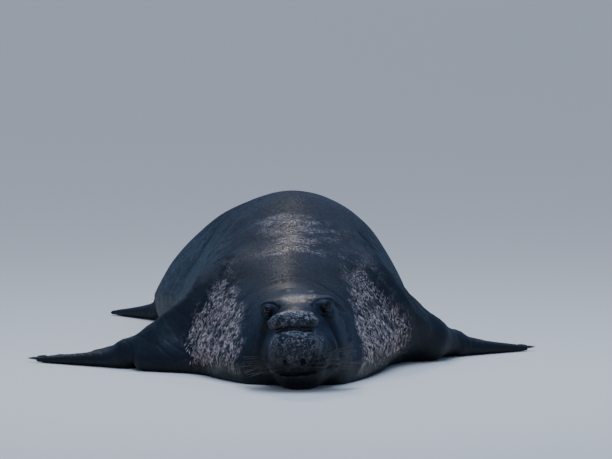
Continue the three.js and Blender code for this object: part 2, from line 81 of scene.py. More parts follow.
TRUNK = {
    "along": [250, 450, 650, 900, 1200, 1550, 1900, 2150, 2500, 2850, 3150, 3500],
    "spine": [-55, -68, -78, -64, -45, -38, -40, -60, -145, -295, -430, -618],
    "half_width": [240, 355, 438, 500, 545, 576, 586, 592, 592, 510, 362, 175],
    "back": [395, 445, 500, 580, 665, 745, 806, 808, 755, 628, 470, 268],
    "widest": [105, 115, 130, 165, 200, 225, 240, 245, 235, 200, 160, 110],
}
BELLY_SAG = 150  # how far the round belly would hang below the ground
ROOF = 1.78  # how full the section is above its widest place, 2 being an ellipse
FLANK = 2.3  # and below it
LEAN = 0.085  # how much the sides sink in on the way up
RIDGE = 40  # how softly the ridge of the back is rounded
TRUNK_END = 3500
TRUNK_BLENDS = (60, 120)  # how softly the trunk's front and end are rounded
AXIS_HEIGHT = 120  # the height that angles round the trunk are taken from
PRESSED = 14  # how far below the ground the flesh stops
PRESSED_BLEND = 24
HEAD_REACH = 900  # how far back the head is felt
NECK_BLEND = 90
LIMB_PAD = 180  # how far outside its own box a limb is felt

HEAD_PIVOT = np.array([8.0, 470.0, 150.0])
HEAD_YAW = math.radians(-6.5)
HEAD_ROLL = math.radians(-5)

# The ovals of the head, each side alike, in the straight head's own frame: centre, radii, slope and blend.
HEAD_FORMS = [
    ((0, 340, 232), (196, 265, 196), 0, 40),  # skull and crown
    ((0, 120, 190), (158, 190, 128), 0, 50),  # upper jaw
    ((0, 150, 72), (128, 190, 92), 0, 20),  # lower jaw and chin
    ((112, 285, 150), (92, 190, 128), 0, 60),  # cheek
    ((86, 50, 136), (66, 92, 62), 0, 26),  # whisker pad
    ((0, 250, 330), (175, 120, 96), 0, 40),  # face between and below the eyes
    ((104, 250, 398), (80, 84, 34), 0, 40),  # brow
    ((0, 150, 335), (112, 150, 72), 0.1, 30),  # bridge of the nose
    ((0, -10, 330), (126, 66, 62), 0, 10),  # arched roll between the two creases
    ((0, -18, 203), (126, 104, 122), 0.05, 14),  # drooping tip
]

# The features of the face, in the straight head's own frame, on its left side.
EYE_AT = np.array([118.0, 210.0, 372.0])
EYE_GAZE = np.array([0.6, -0.76, 0.25])
EYE_RADIUS = 30
EYE_SUNK = 19  # how far the eye's centre lies behind the face
EYE_LOOSE = 0.6  # how much smaller the eyeball is than the eye's solid
CORNEA_BULGE = 1.6
LID_WIDE = 22.5  # half the width of the opening between the lids
LID_TALL = (12.5, 15.0)  # its height above and below the gaze
LID_THICK = 2.4
SOCKET_DEPTH = 9
SOCKET_REACH = 95  # how far round the gaze the skin is drawn to the eye
SOCKET_BACK = 45  # and how far behind the eye's centre
NOSTRIL_AT = np.array([42.0, -96.0, 140.0])
EAR_AT = np.array([190.0, 372.0, 300.0])
NOSTRIL_RADII = (15, 25)
MOUTH_AT = np.array([0.0, -20.0, 82.0])
MOUTH_SLOPE = 0.09
MOUTH_CORNER = 185

# Each flipper: its places, the length of its digits, its heading in degrees, and the side of its first digit.
FLIPPERS = {
    "foreflipper_right": ((-330, 1090, 315), (-700, 1000, 125), (-880, 1040, 80), 540, 139, -1),
    "foreflipper_left": ((284, 1200, 288), (598, 1390, 112), (745, 1620, 66), 450, 44, 1),
    "hindflipper_right": ((-570, 3240, 150), (-700, 3390, 122), (-750, 3430, 104), 440, 114, 1),
    "hindflipper_left": ((-540, 3260, 140), (-545, 3480, 92), (-530, 3560, 78), 440, 88, 1),
}
FORE = {
    "radii": (215, 118, 72), "palm": 34, "root_height": 44, "blends": (150, 60, 50, 40), "roll": 0,
    "digits": [(-9, 0.95, -48), (-2, 1.0, -24), (6, 0.94, 0), (14, 0.84, 24), (23, 0.71, 46)],
}
HIND = {
    "radii": (135, 78, 62), "palm": 36, "root_height": 58, "blends": (90, 60, 50, 40), "roll": 0.16,
    "digits": [(-15, 0.96, -40), (-7, 0.84, -20), (0, 0.78, 0), (7, 0.85, 20), (15, 1.0, 40)],
}
DIGIT_ROOT = 36  # radii of a digit
DIGIT_TIP = 14
WEB_ROOT = 0.8  # the web's radii, as shares of a digit's
WEB_TIP = 0.66
WEB_BACK = 0.07  # how far short of the digits the web ends, as a share of their length
TAIL = ((-640, 3440, 120), (-684, 3585, 66), 58, 26, 0.7, 40)
BREAST = ((-430, 760, 60), (-790, 900, 48), 90, 62, 1, 90)


def unit(v):
    """The same directions with a length of one."""
    return v / np.maximum(np.linalg.norm(v, axis=-1, keepdims=True), 1e-9)


def ramp(x, low, high):
    """Smoothly from 0 at low to 1 at high."""
    t = np.clip((x - low) / (high - low), 0, 1)
    return t * t * (3 - 2 * t)


def band(x, low, high, soft):
    """1 between low and high, falling to 0 within soft outside them."""
    return ramp(x, low - soft, low) * (1 - ramp(x, high, high + soft))


def smooth_min(a, b, k):
    """The lesser of two distances, rounded where they are within k of each other."""
    h = np.maximum(k - np.abs(a - b), 0) / k
    return np.minimum(a, b) - h * h * k / 4


def curve_table(xs, ys, at):
    """A smooth curve through points that only turns where they do, read at many places."""
    xs, ys = np.array(xs, float), np.array(ys, float)
    rise = np.diff(ys) / np.diff(xs)
    inner = np.where(rise[1:] * rise[:-1] <= 0, 0, 2 * rise[1:] * rise[:-1] / (rise[1:] + rise[:-1] + 1e-12))
    slope = np.concatenate([rise[:1], inner, rise[-1:]])
    i = np.clip(np.searchsorted(xs, at, side="right") - 1, 0, len(xs) - 2)
    width = xs[i + 1] - xs[i]
    t = np.clip((at - xs[i]) / width, 0, 1)
    t2, t3 = t * t, t * t * t
    return (ys[i] * (2 * t3 - 3 * t2 + 1) + ys[i + 1] * (3 * t2 - 2 * t3)
            + width * (slope[i] * (t3 - 2 * t2 + t) + slope[i + 1] * (t3 - t2)))


TRUNK_Y = np.arange(250, 3504, 4.0)
TRUNK_TABLE = {key: curve_table(TRUNK["along"], TRUNK[key], TRUNK_Y) for key in TRUNK if key != "along"}


def trunk_at(y, key):
    """One of the trunk's measures at distances behind the chin."""
    return np.interp(y, TRUNK_Y, TRUNK_TABLE[key])


def from_oval(u, v, a, b, exponent):
    """How far outside an oval, along the line to its centre."""
    ratio = (np.abs(u / a) ** exponent + np.abs(v / b) ** exponent) ** (1 / exponent)
    return (np.hypot(u, v) + 1e-6) * (1 - 1 / np.maximum(ratio, 1e-6))


def trunk_field(p):
    """How far outside the trunk."""
    x, y, z = p.T
    widest = trunk_at(y, "widest")
    u, v, upper = x - trunk_at(y, "spine"), z - widest, trunk_at(y, "back") - widest
    share = np.clip(v / upper, 0, 1)
    half = trunk_at(y, "half_width") / (1 + 4 * LEAN * share * (1 - share))
    above = from_oval(np.hypot(u, RIDGE), v, half, upper, ROOF)
    below = from_oval(u, v, half, widest + BELLY_SAG, FLANK)
    ring = np.where(v > 0, above, below)
    front = -smooth_min(-ring, y - TRUNK["along"][0], TRUNK_BLENDS[0])
    return -smooth_min(-front, TRUNK_END - y, TRUNK_BLENDS[1])


def turn_matrix(yaw, roll):
    """Turned about X by a roll round Y, then about Z."""
    c, s = math.cos(yaw), math.sin(yaw)
    cr, sr = math.cos(roll), math.sin(roll)
    return np.array([[c, -s, 0], [s, c, 0], [0, 0, 1]]) @ np.array([[cr, 0, sr], [0, 1, 0], [-sr, 0, cr]])


HEAD_TURN = turn_matrix(HEAD_YAW, HEAD_ROLL)
STRAIGHT_PIVOT = HEAD_PIVOT * (0, 1, 1)


def to_head(p):
    """Places in the straight head's own frame."""
    return (p - HEAD_PIVOT) @ HEAD_TURN + STRAIGHT_PIVOT


def in_head(p):
    """Places in the seal's frame, from the straight head's."""
    return (p - STRAIGHT_PIVOT) @ HEAD_TURN.T + HEAD_PIVOT


def head_field(p):
    """How far outside the head."""
    h = to_head(p)
    h[:, 0] = np.abs(h[:, 0])
    d = np.full(len(p), 1e4)
    for centre, radii, slope, blend in HEAD_FORMS:
        dx, dy, dz = (h - np.array(centre, float)).T
        c, s = math.cos(slope), math.sin(slope)
        local = np.stack([dx, c * dy + s * dz, -s * dy + c * dz], 1)
        ratio = np.linalg.norm(local / np.array(radii, float), axis=1)
        away = (np.linalg.norm(local, axis=1) + 1e-6) * (1 - 1 / np.maximum(ratio, 1e-6))
        d = smooth_min(d, away, blend)
    return d


def rotated(v, axis, angle):
    """A direction turned about an axis."""
    c, s = math.cos(angle), math.sin(angle)
    return v * c + np.cross(axis, v) * s + axis * (axis @ v) * (1 - c)


def build_of(name):
    """The thickness and spread of digits of a flipper."""
    return FORE if name.startswith("fore") else HIND


def heading_of(name):
    """Which way a flipper points, level with the ground."""
    angle = math.radians(FLIPPERS[name][4])
    return np.array([math.cos(angle), math.sin(angle), 0])


def digit_lines(name):
    """Where each digit of a flipper runs, from its root to its tip."""
    _, _, wrist, reach, _, turn = FLIPPERS[name]
    build = build_of(name)
    heading = heading_of(name)
    normal = rotated(np.array([0.0, 0.0, 1.0]), heading, -build["roll"] * turn)
    across = np.cross(normal, heading) * turn
    lines = []
    for spread, length, start in build["digits"]:
        root = np.array([wrist[0], wrist[1], build["root_height"]]) + across * start
        tip = root + rotated(heading, normal, math.radians(spread) * turn) * reach * length
        root[2] = max(root[2], DIGIT_ROOT)
        tip[2] = DIGIT_TIP + max(tip[2] - build["root_height"], 0)
        lines.append((root, tip))
    return lines


def flipper_forms(name):
    """Every tapering form of a flipper: from, to, their radii, flatness and blend."""
    trunk, joint, wrist = (np.array(place, float) for place in FLIPPERS[name][:3])
    build = build_of(name)
    lines = digit_lines(name)
    palm = wrist + (lines[2][1] - wrist) * 0.45
    r, b = build["radii"], build["blends"]
    forms = [
        (trunk, joint, r[0], r[1], 1, b[0]),
        (joint, wrist, r[1], r[2], 0.9, b[1]),
        (wrist, palm, r[2], build["palm"], 0.8, b[2]),
    ]
    forms += [(root, tip, DIGIT_ROOT, DIGIT_TIP, 1, b[3]) for root, tip in lines]
    for (root_a, tip_a), (root_b, tip_b) in zip(lines[:-1], lines[1:]):
        for share in (1 / 3, 2 / 3):
            root = root_a + (root_b - root_a) * share
            tip = tip_a + (tip_b - tip_a) * share
            tip = tip + (root - tip) * WEB_BACK
            tip[2] -= DIGIT_TIP * (1 - WEB_TIP) * 0.6
            forms.append((root, tip, DIGIT_ROOT * WEB_ROOT, DIGIT_TIP * WEB_TIP, 1, b[3]))
    return forms


LIMBS = {name: flipper_forms(name) for name in FLIPPERS}
for name, form in (("tail", TAIL), ("breast", BREAST)):
    LIMBS[name] = [(np.array(form[0], float), np.array(form[1], float), *form[2:])]


def taper_field(p, root, tip, root_radius, tip_radius, flatness):
    """How far outside a limb that tapers between two places."""
    run = tip - root
    h = np.clip((p - root) @ run / (run @ run), 0, 1)
    away = p - root - h[:, None] * run
    away[:, 2] /= flatness
    return np.linalg.norm(away, axis=1) - (root_radius + (tip_radius - root_radius) * h)


def near_box(p, forms, pad):
    """Which points are within pad of a limb's box."""
    low = np.min([np.minimum(f[0], f[1]) - max(f[2], f[3]) for f in forms], 0) - pad
    high = np.max([np.maximum(f[0], f[1]) + max(f[2], f[3]) for f in forms], 0) + pad
    return np.flatnonzero(np.all((p > low) & (p < high), axis=1))


def body_field(p):
    """How far outside the trunk and the head together."""
    d = trunk_field(p)
    front = np.flatnonzero(p[:, 1] < HEAD_REACH)
    d[front] = smooth_min(d[front], head_field(p[front]), NECK_BLEND)
    return d


def flesh_field(p):
    """How far outside the whole flesh. It stops a little below the ground."""
    d = body_field(p)
    for forms in LIMBS.values():
        near = near_box(p, forms, LIMB_PAD)
        q, part = p[near], d[near]
        for root, tip, root_radius, tip_radius, flatness, blend in forms:
            part = smooth_min(part, taper_field(q, root, tip, root_radius, tip_radius, flatness), blend)
        d[near] = part
    return -smooth_min(-d, PRESSED + p[:, 2], PRESSED_BLEND)


def slope_of(field, p, step=0.6):
    """How fast a field rises along each axis."""
    return np.stack([(field(p + off) - field(p - off)) / (2 * step) for off in np.eye(3) * step], 1)


def settle(p, depth, rounds, reach=12.0):
    """Points moved on to the surface that lies a depth inside the flesh's."""
    start = p
    for _ in range(rounds):
        slope = slope_of(flesh_field, p)
        rise = np.maximum((slope * slope).sum(1), 0.2)
        p = p - slope * ((flesh_field(p) + depth) / rise)[:, None]
        moved = p - start
        far = np.linalg.norm(moved, axis=1, keepdims=True)
        p = start + moved * np.minimum(1, reach / np.maximum(far, 1e-9))
    return p


def surface_along(start, direction):
    """From a place inside the flesh, the way out along a direction."""
    p = np.array([start])
    for _ in range(60):
        p = p - 0.6 * flesh_field(p)[:, None] * direction
    return p[0]


def find_eyes():
    """The centre and the gaze of the right eye, then the left."""
    eyes = []
    for side in (-1, 1):
        flip = np.array([side, 1, 1])
        gaze = unit(HEAD_TURN @ (EYE_GAZE * flip))
        eyes.append((surface_along(in_head(EYE_AT * flip), gaze) - gaze * EYE_SUNK, gaze))
    return eyes


EYES = find_eyes()
EARS = [surface_along(in_head(EAR_AT * (0.6 * side, 1, 1)), unit(HEAD_TURN @ np.array([side, 0.1, 0.25])))
        for side in (-1, 1)]


def find_origin():
    """Where the seal's own frame lies in the model's, in millimetres, read from the two eyes."""
    shifts = []
    for node, (centre, _) in zip(("eye_right", "eye_left"), EYES):
        low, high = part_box(node)
        shifts.append(np.array((low + high) / 2) * 1000 - centre)
    shift = np.mean(shifts, axis=0)
    shift[2] = 0
    return shift


ORIGIN = find_origin()


def to_model(p):
    """Places in the model's frame, in metres."""
    return (p + ORIGIN) / 1000


NOISE_VALUES = np.random.default_rng(7).uniform(-1, 1, 4096)


def noise(p):
    """Smooth bumps from -1 to 1, one to each unit."""
    cell = np.floor(p).astype(np.int64)
    t = p - cell
    t = t * t * (3 - 2 * t)
    total = np.zeros(len(p))
    for corner in np.ndindex(2, 2, 2):
        i, j, k = (cell + corner).T
        weight = np.prod(np.where(corner, t, 1 - t), axis=1)
        total += weight * NOISE_VALUES[(i * 73856093 ^ j * 19349663 ^ k * 83492791) & 4095]
    return total


# Where each marking, painted shade and painted highlight lies

def body_angle(p):
    """Degrees round the trunk from its ridge, negative on the seal's right."""
    return np.degrees(np.arctan2(p[:, 0] - trunk_at(p[:, 1], "spine"), p[:, 2] - AXIS_HEIGHT))


LIMB_FADE = (12, 80)  # how far outside the trunk and the head a flipper's own hide starts and is full


def limb_share(p):
    """1 on the flippers and 0 on the body."""
    return ramp(body_field(p), *LIMB_FADE)


# The neck shield on the seal's right and left: where it starts behind the chin at the ground, how much
# further back at the height of the nape, how many degrees from the ridge its upper edge lies, its strength.
SHIELD_START = (262, 396)
SHIELD_SLANT = (255, 330)
SHIELD_EDGE = (38, 29)
SHIELD_STRENGTH = (1, 0.86)
SHIELD_END = (1040, 1240)
NAPE_HEIGHT = 408
# The crown and brow patches are pale scarred hide, and partly a painted highlight.
CROWN_SCARS_AND_HIGHLIGHT = 0.55
BROW_SCARS_AND_HIGHLIGHT = 0.5


def zones(p, normal):
    """How strongly each marking, painted shade and painted highlight shows at places on the skin."""
    h = to_head(p)
    angle = body_angle(p)
    away = np.abs(angle)
    limb = limb_share(p)
    drift = noise(p / 140) * 70
    face = 1 - ramp(h[:, 1], 330, 520)
    # The neck shield starts behind the cheek, further back the higher it lies, and thins out on its way up.
    right = angle < 0
    rise = (np.maximum(p[:, 2], 0) / NAPE_HEIGHT) ** 1.85
    start = np.where(right, *SHIELD_START) + np.where(right, *SHIELD_SLANT) * rise
    edge = np.where(right, *SHIELD_EDGE)
    neck = ramp(p[:, 1] - start + drift * 0.3 + noise(p / 42) * 40, -20, 70)
    neck = neck * (1 - ramp(p[:, 1] + drift, *SHIELD_END))
    neck = neck * ramp(away + drift * 0.12 + noise(p / 42 + 7) * 4, edge - 8, edge + 8)
    neck = neck * np.where(right, *SHIELD_STRENGTH)
    neck = neck * ramp(p[:, 2] + drift * 0.3, 10, 70) * (1 - 0.5 * ramp(p[:, 2] + drift, 250, 520))
    # Bald patches lie on the crown of the hump and between the brows, their pale strokes partly a painted
    # highlight where the glare falls.
    crown = band(p[:, 1] + drift, 980, 1480, 90) * (1 - ramp(away + drift * 0.12, 9, 26))
    brow = 1 - ramp(np.abs(h[:, 0]) + drift * 0.3, 60, 110)
    brow = band(h[:, 1], 190, 300, 50) * brow * ramp(h[:, 2], 380, 410)
    shield = np.maximum(neck, np.maximum(crown * CROWN_SCARS_AND_HIGHLIGHT, brow * BROW_SCARS_AND_HIGHLIGHT))
    shield = np.clip(shield * (1 - limb), 0, 1)
    pale = band(p[:, 1] + drift, 1500, 2750, 260) * band(away, 50, 112, 18) * (1 - limb)
    pale = pale * np.where(angle < 0, 1, 0.55)
    # Painted shade: darker near the ground, further up on the lower face, and on faces that turn downwards.
    underside_shade = 1 - ramp(p[:, 2] + noise(p / 90) * 16, 20, 130 + 110 * face)
    underside_shade = np.maximum(underside_shade * (1 - 0.5 * limb), ramp(-normal[:, 2], 0.1, 0.8))
    nose = (1 - ramp(h[:, 1], -30, 110)) * band(h[:, 2], 70, 420, 30)
    # Painted highlight: the worn nose is paler on its upward faces, where light falls from above.
    nose = nose * (0.4 + 0.6 * ramp(normal[:, 2], -0.1, 0.6))
    return {"shield": shield, "pale": pale, "underside_shade": underside_shade, "nose": nose, "limb": limb}


def lie_of_coat(p, normal, limb):
    """Which way the coat lies: back from the nose, along the body, and out along the flippers."""
    h = to_head(p)
    from_nose = (unit(h - np.array([0, -170, 215])) * (1, 1, 0.8)) @ HEAD_TURN.T
    bend = (trunk_at(p[:, 1] + 20, "spine") - trunk_at(p[:, 1] - 20, "spine")) / 40
    down = -0.28 * np.abs(np.sin(np.radians(body_angle(p))))
    back = np.stack([bend, np.ones(len(p)), down], 1)
    blend = ramp(h[:, 1], 220, 560)[:, None]
    lie = unit(from_nose * (1 - blend) + unit(back) * blend)
    nearest = np.full(len(p), 1e9)
    outward = np.zeros_like(p)
    for name, (trunk, joint, wrist, *_) in FLIPPERS.items():
        places = [np.array(trunk, float), np.array(joint, float), np.array(wrist, float)]
        end = places[2] + heading_of(name) * 500
        for a, b in zip(places, places[1:] + [end]):
            d = taper_field(p, a, b, 0, 0, 1)
            closer = d < nearest
            nearest = np.where(closer, d, nearest)
            outward[closer] = unit(b - a)
    lie = unit(lie * (1 - limb[:, None]) + outward * limb[:, None])
    return unit(lie - normal * (lie * normal).sum(1, keepdims=True))


# Folds, creases and the features of the face

def near_line(p, line, width):
    """1 on a line through places, fading to 0 at a few widths from it."""
    near = np.full(len(p), 1e9)
    places = np.array(line, float)
    for a, b in zip(places[:-1], places[1:]):
        near = np.minimum(near, taper_field(p, a, b, 0, 0, 1))
    return np.exp(-((near / width) ** 2))


def mirrored(h):
    """Places in the head's own frame, brought to its left side."""
    side = h.copy()
    side[:, 0] = np.abs(h[:, 0])
    return side


def wandering(p, size):
    """Three noises at each place, with bumps of a size, to make drawn lines wander."""
    return np.stack([noise(p / size + shift) for shift in (0, 9, 17)], 1)


def fold_valleys(s, spacing, width):
    """Narrow valleys at even spacing, 1 at their floor."""
    return np.exp(-((np.sin(np.pi * s / spacing) / width) ** 2))


# Lines through places in the straight head's frame, how deep they are drawn in, or out where negative, and
# how wide.
FACE_FOLDS = [
    ([(136, 177, 352), (160, 190, 290), (186, 184, 214), (200, 190, 140)], 10, 19),  # behind the muzzle
    ([(118, 50, 286), (146, 90, 262), (168, 130, 226), (172, 140, 180)], -6, 20),  # swell of the whisker pad
    ([(66, 424, 431), (124, 520, 400), (172, 545, 356), (204, 530, 311), (220, 468, 254),
      (228, 360, 190)], -13, 24),
    ([(128, 462, 402), (160, 480, 360), (188, 450, 300), (204, 380, 240)], 9, 22),
    ([(84, 170, 414), (56, 150, 420), (28, 136, 422), (0, 130, 422)], 3, 12),  # frown
    ([(0, 38, 372), (34, 39, 369), (62, 43, 356), (92, 40, 336), (117, 28, 318)], 10, 8),  # above the roll
    ([(0, 84, 406), (40, 86, 399), (80, 96, 376), (104, 110, 350)], 5, 8),  # lesser one above it
    ([(0, -74, 306), (46, -66, 302), (82, -42, 294), (106, -20, 292)], 12, 8),  # below the roll
    ([(0, -112, 262), (50, -106, 256), (92, -80, 260), (118, -36, 264)], 3.5, 6),
    ([(0, -124, 226), (44, -118, 216), (84, -94, 222), (114, -56, 230)], 3, 6),
    ([(0, -122, 186), (36, -120, 176), (76, -100, 178), (108, -66, 190)], 3, 5),
    ([(150, 190, 322), (128, 130, 314), (118, 84, 302)], 4, 9),
]
# The same in the seal's own frame: the ridges over the shoulders and the deepest folds behind them.
BODY_FOLDS = [
    ([(-330, 1760, 660), (-410, 1660, 580), (-455, 1480, 520), (-490, 1180, 475), (-520, 1000, 400),
      (-570, 960, 330), (-680, 985, 250)], -20, 48),
    ([(-430, 1960, 620), (-510, 1860, 520), (-565, 1640, 430), (-600, 1400, 350), (-620, 1240, 300)], 14, 44),
    ([(-468, 2260, 599), (-530, 2220, 520), (-590, 2240, 423), (-640, 2320, 343)], 10, 34),
    ([(220, 1420, 637), (271, 1290, 575), (340, 1160, 509), (420, 1120, 403), (505, 1130, 301),
      (560, 1170, 240), (620, 1220, 180)], -18, 38),
    ([(300, 1600, 600), (390, 1480, 500), (460, 1340, 410), (530, 1290, 330), (590, 1300, 260)], 14, 40),
    ([(450, 2000, 560), (520, 1950, 450), (545, 1860, 340), (540, 1760, 220)], 8, 34),
]


# How far apart the folds lie that ring the body, and how deep they and the features of the face are.
GIRTH_SPACING, GIRTH_DEPTH = 128, 9
FINE_SPACING, FINE_DEPTH = 47, 2.6
NAPE_SPACING, NAPE_DEPTH = 122, 3.2
WRIST_SPACING, WRIST_DEPTH = 34, 1.8
MOUTH_DEPTH = 9
LIP_SWELL = 4
NOSTRIL_DEPTH = 17
EAR_DEPTH = 7
FULL_CREASE = 7  # the depth at which a crease's painted shade is as dark as any


def from_mouth(h):
    """How far above the line of the mouth."""
    return h[:, 2] - MOUTH_AT[2] - MOUTH_SLOPE * (h[:, 1] - MOUTH_AT[1])


def relief(p, zone):
    """How far the skin stands out from its smooth form, and how deep its creases are from 0 to 1, which sets
    their painted shade.
    """
    h = to_head(p)
    side = mirrored(h) + wandering(p, 38) * 4
    head = 1 - ramp(h[:, 1], 420, 560)
    above = np.abs(body_angle(p))
    body = (1 - zone["limb"]) * (1 - head)
    wander = noise(p / (330, 260, 200)) * 90 + noise(p / 110) * 16
    strength = 0.5 + 0.5 * noise(p / (160, 220, 150) + 30)

    # Girth folds hang down the flanks, deepest behind the shoulder, and ring the nape.
    girth = fold_valleys(p[:, 1] + 0.35 * p[:, 2] + wander, GIRTH_SPACING, 0.32)
    fine = fold_valleys(p[:, 1] + 0.2 * p[:, 2] + wander * 0.7, FINE_SPACING, 0.4)
    flank = band(above, 46, 108, 20) * ramp(p[:, 1], 900, 1300) * (0.5 + 0.5 * band(p[:, 1], 1300, 1900, 320))
    behind_head = np.hypot(0.8 * (p[:, 0] + 30), p[:, 1] - 150) + noise(p / 90) * 14
    nape = fold_valleys(behind_head, NAPE_SPACING, 0.4) * band(behind_head, 345, 560, 50)
    nape = nape * (1 - ramp(above, 36, 66))
    crease = body * strength * (flank * (girth * GIRTH_DEPTH + fine * FINE_DEPTH))
    crease += nape * NAPE_DEPTH * (1 - zone["limb"])

    # The scarred shield is thick and cobbled.
    cobbles = np.abs(noise(p / (36, 30, 46))) + 0.5 * np.abs(noise(p / 17 + 5))
    crease += zone["shield"] * (1 - head * 0.6) * np.maximum(0.62 - cobbles, 0) * 8
    swell = noise(p / 300) * 4 + noise(p / (120, 170, 120) + 3) * 2.2
    out = body * swell

    # The folds and ridges drawn along lines, and the grain of the nose.
    for places, folds, share in ((side, FACE_FOLDS, 1), (p + wandering(p, 90) * 14, BODY_FOLDS, 0.8)):
        for line, depth, width in folds:
            drawn = depth * near_line(places, line, width)
            crease += np.maximum(drawn, 0) * share
            out += np.maximum(-drawn, 0)
    grain = noise(p / (26, 26, 15)) * 1.7 + noise(p / 11 + 4) * 1.0 + noise(p / 6 + 8) * 0.5
    out += head * grain * (0.4 + 1.3 * zone["nose"])

    # Rings of folds round the wrists.
    from_middle = np.linalg.norm(p - (-60, 1500, 0), axis=1) + noise(p / 60) * 14
    rings = fold_valleys(from_middle, WRIST_SPACING, 0.35) * ramp(p[:, 2], 20, 60)
    crease += zone["limb"] * rings * WRIST_DEPTH

    # The line of the mouth between its lips.
    below = from_mouth(h) + 18 * ramp(h[:, 1], 110, 190)
    mouth = head * (1 - ramp(h[:, 1], MOUTH_CORNER - 12, MOUTH_CORNER + 14))
    crease += mouth * np.exp(-((below / 4.2) ** 2)) * MOUTH_DEPTH
    out += mouth * LIP_SWELL * np.exp(-(((np.abs(below) - 15) / 9) ** 2))

    # Nostrils and ear holes.
    slit = side - NOSTRIL_AT
    slanted = slit[:, 2] - 0.25 * slit[:, 0]
    from_nostril = np.hypot(slit[:, 0] / NOSTRIL_RADII[0], slanted / NOSTRIL_RADII[1])
    at_nose = 1 - ramp(h[:, 1], -70, -30)
    crease += at_nose * NOSTRIL_DEPTH * (1 - ramp(from_nostril, 0.25, 1.0))
    out += at_nose * 3 * np.exp(-(((from_nostril - 1.25) / 0.25) ** 2))
    for ear in EARS:
        r = np.linalg.norm(p - ear, axis=1)
        crease += EAR_DEPTH * (1 - ramp(r, 2, 11))
        out += 2 * np.exp(-(((r - 15) / 5) ** 2))
    return out - crease, np.clip(crease / FULL_CREASE, 0, 1)


def shape_lids(p):
    """The socket and lids drawn round each eyeball, and how close each point is to a lid's edge."""
    rim = np.zeros(len(p))
    for centre, gaze in EYES:
        right = unit(np.cross(gaze, (0, 0, 1)))
        up = np.cross(right, gaze)
        q = p - centre
        a, b, height = q @ right, q @ up, q @ gaze
        near = np.flatnonzero((np.hypot(a, b) < SOCKET_REACH) & (height > -SOCKET_BACK))
        a, b, height = a[near], b[near], height[near]
        share = np.hypot(a / LID_WIDE, b / np.where(b > 0, *LID_TALL))
        # The points nearest the lids' edge move on to it, and a second ring of them just inside.
        snapped = np.where((share > 0.9) & (share < 1), 0.97, share)
        snapped = np.where((share >= 1) & (share < 1.1), 1.0, snapped)
        pull = snapped / np.maximum(share, 1e-6)
        a, b = a * pull, b * pull
        ball = np.sqrt(np.maximum(EYE_RADIUS**2 - a * a - b * b, 0))
        lid = ball + LID_THICK - 2.0 * np.exp(-(((snapped - 1.6) / 0.16) ** 2))
        drawn = 1 - ramp(snapped, 1.15, 2.3)
        target = height + (np.maximum(lid, height) - height) * drawn
        socket = SOCKET_DEPTH * np.exp(-(((snapped - 2.6) / 0.6) ** 2))
        target = np.where(snapped < 1, ball - 3.5, target - socket)
        p[near] = centre + np.outer(a, right) + np.outer(b, up) + np.outer(target, gaze)
        rim[near] = np.exp(-(((snapped - 1.02) / 0.16) ** 2))
        rim[near] = np.where(snapped < 1, 1, rim[near])
    return p, rim


# The skin

def grid_lines(*runs):
    """Grid lines from runs of start, end and step."""
    parts = [np.linspace(a, b, max(1, round((b - a) / step)) + 1)[:-1] for a, b, step in runs]
    return np.append(np.concatenate(parts), runs[-1][1])


SKIN_GRID = (
    grid_lines((-1430, -640, 12), (-640, 640, 14), (640, 1200, 12)),
    grid_lines((-160, 440, 12), (440, 2000, 14), (2000, 3300, 16), (3300, 4016, 12)),
    grid_lines((-26, 64, 9), (64, 500, 13), (500, 846, 15)),
)
BLOCK = 3
BLOCK_REACH = 62


def grid_values(lines, depth):
    """The field on a grid, exact near the surface and only its sign elsewhere."""
    middles = []
    for line in lines:
        starts = np.arange(0, len(line), BLOCK)
        ends = np.minimum(starts + BLOCK - 1, len(line) - 1)
        middles.append((line[starts] + line[ends]) / 2)
    centres = np.stack(np.meshgrid(*middles, indexing="ij"), -1)
    coarse = flesh_field(centres.reshape(-1, 3)).reshape(centres.shape[:3]) + depth
    for axis, line in enumerate(lines):
        coarse = np.repeat(coarse, BLOCK, axis).take(range(len(line)), axis)
    near = np.flatnonzero(np.abs(coarse.ravel()) < BLOCK_REACH)
    i, j, k = np.unravel_index(near, coarse.shape)
    value = coarse.ravel().copy()
    value[near] = flesh_field(np.stack([lines[0][i], lines[1][j], lines[2][k]], 1)) + depth
    return value.reshape(coarse.shape)


def unpinch(value):
    """Puts a corner outside wherever four corners of a grid square are in and out by turns."""
    for _ in range(8):
        changed = False
        for u, v in ((0, 1), (1, 2), (2, 0)):
            view = np.moveaxis(value, (u, v), (0, 1))
            corners = [view[:-1, :-1], view[1:, :-1], view[1:, 1:], view[:-1, 1:]]
            inside = [c < 0 for c in corners]
            for first, second in ((0, 2), (1, 3)):
                others = [n for n in range(4) if n not in (first, second)]
                pinched = inside[first] & inside[second] & ~inside[others[0]] & ~inside[others[1]]
                if pinched.any():
                    shallow = corners[first] > corners[second]
                    corners[first][pinched & shallow] = 0.01
                    corners[second][pinched & ~shallow] = 0.01
                    changed = True
        if not changed:
            return


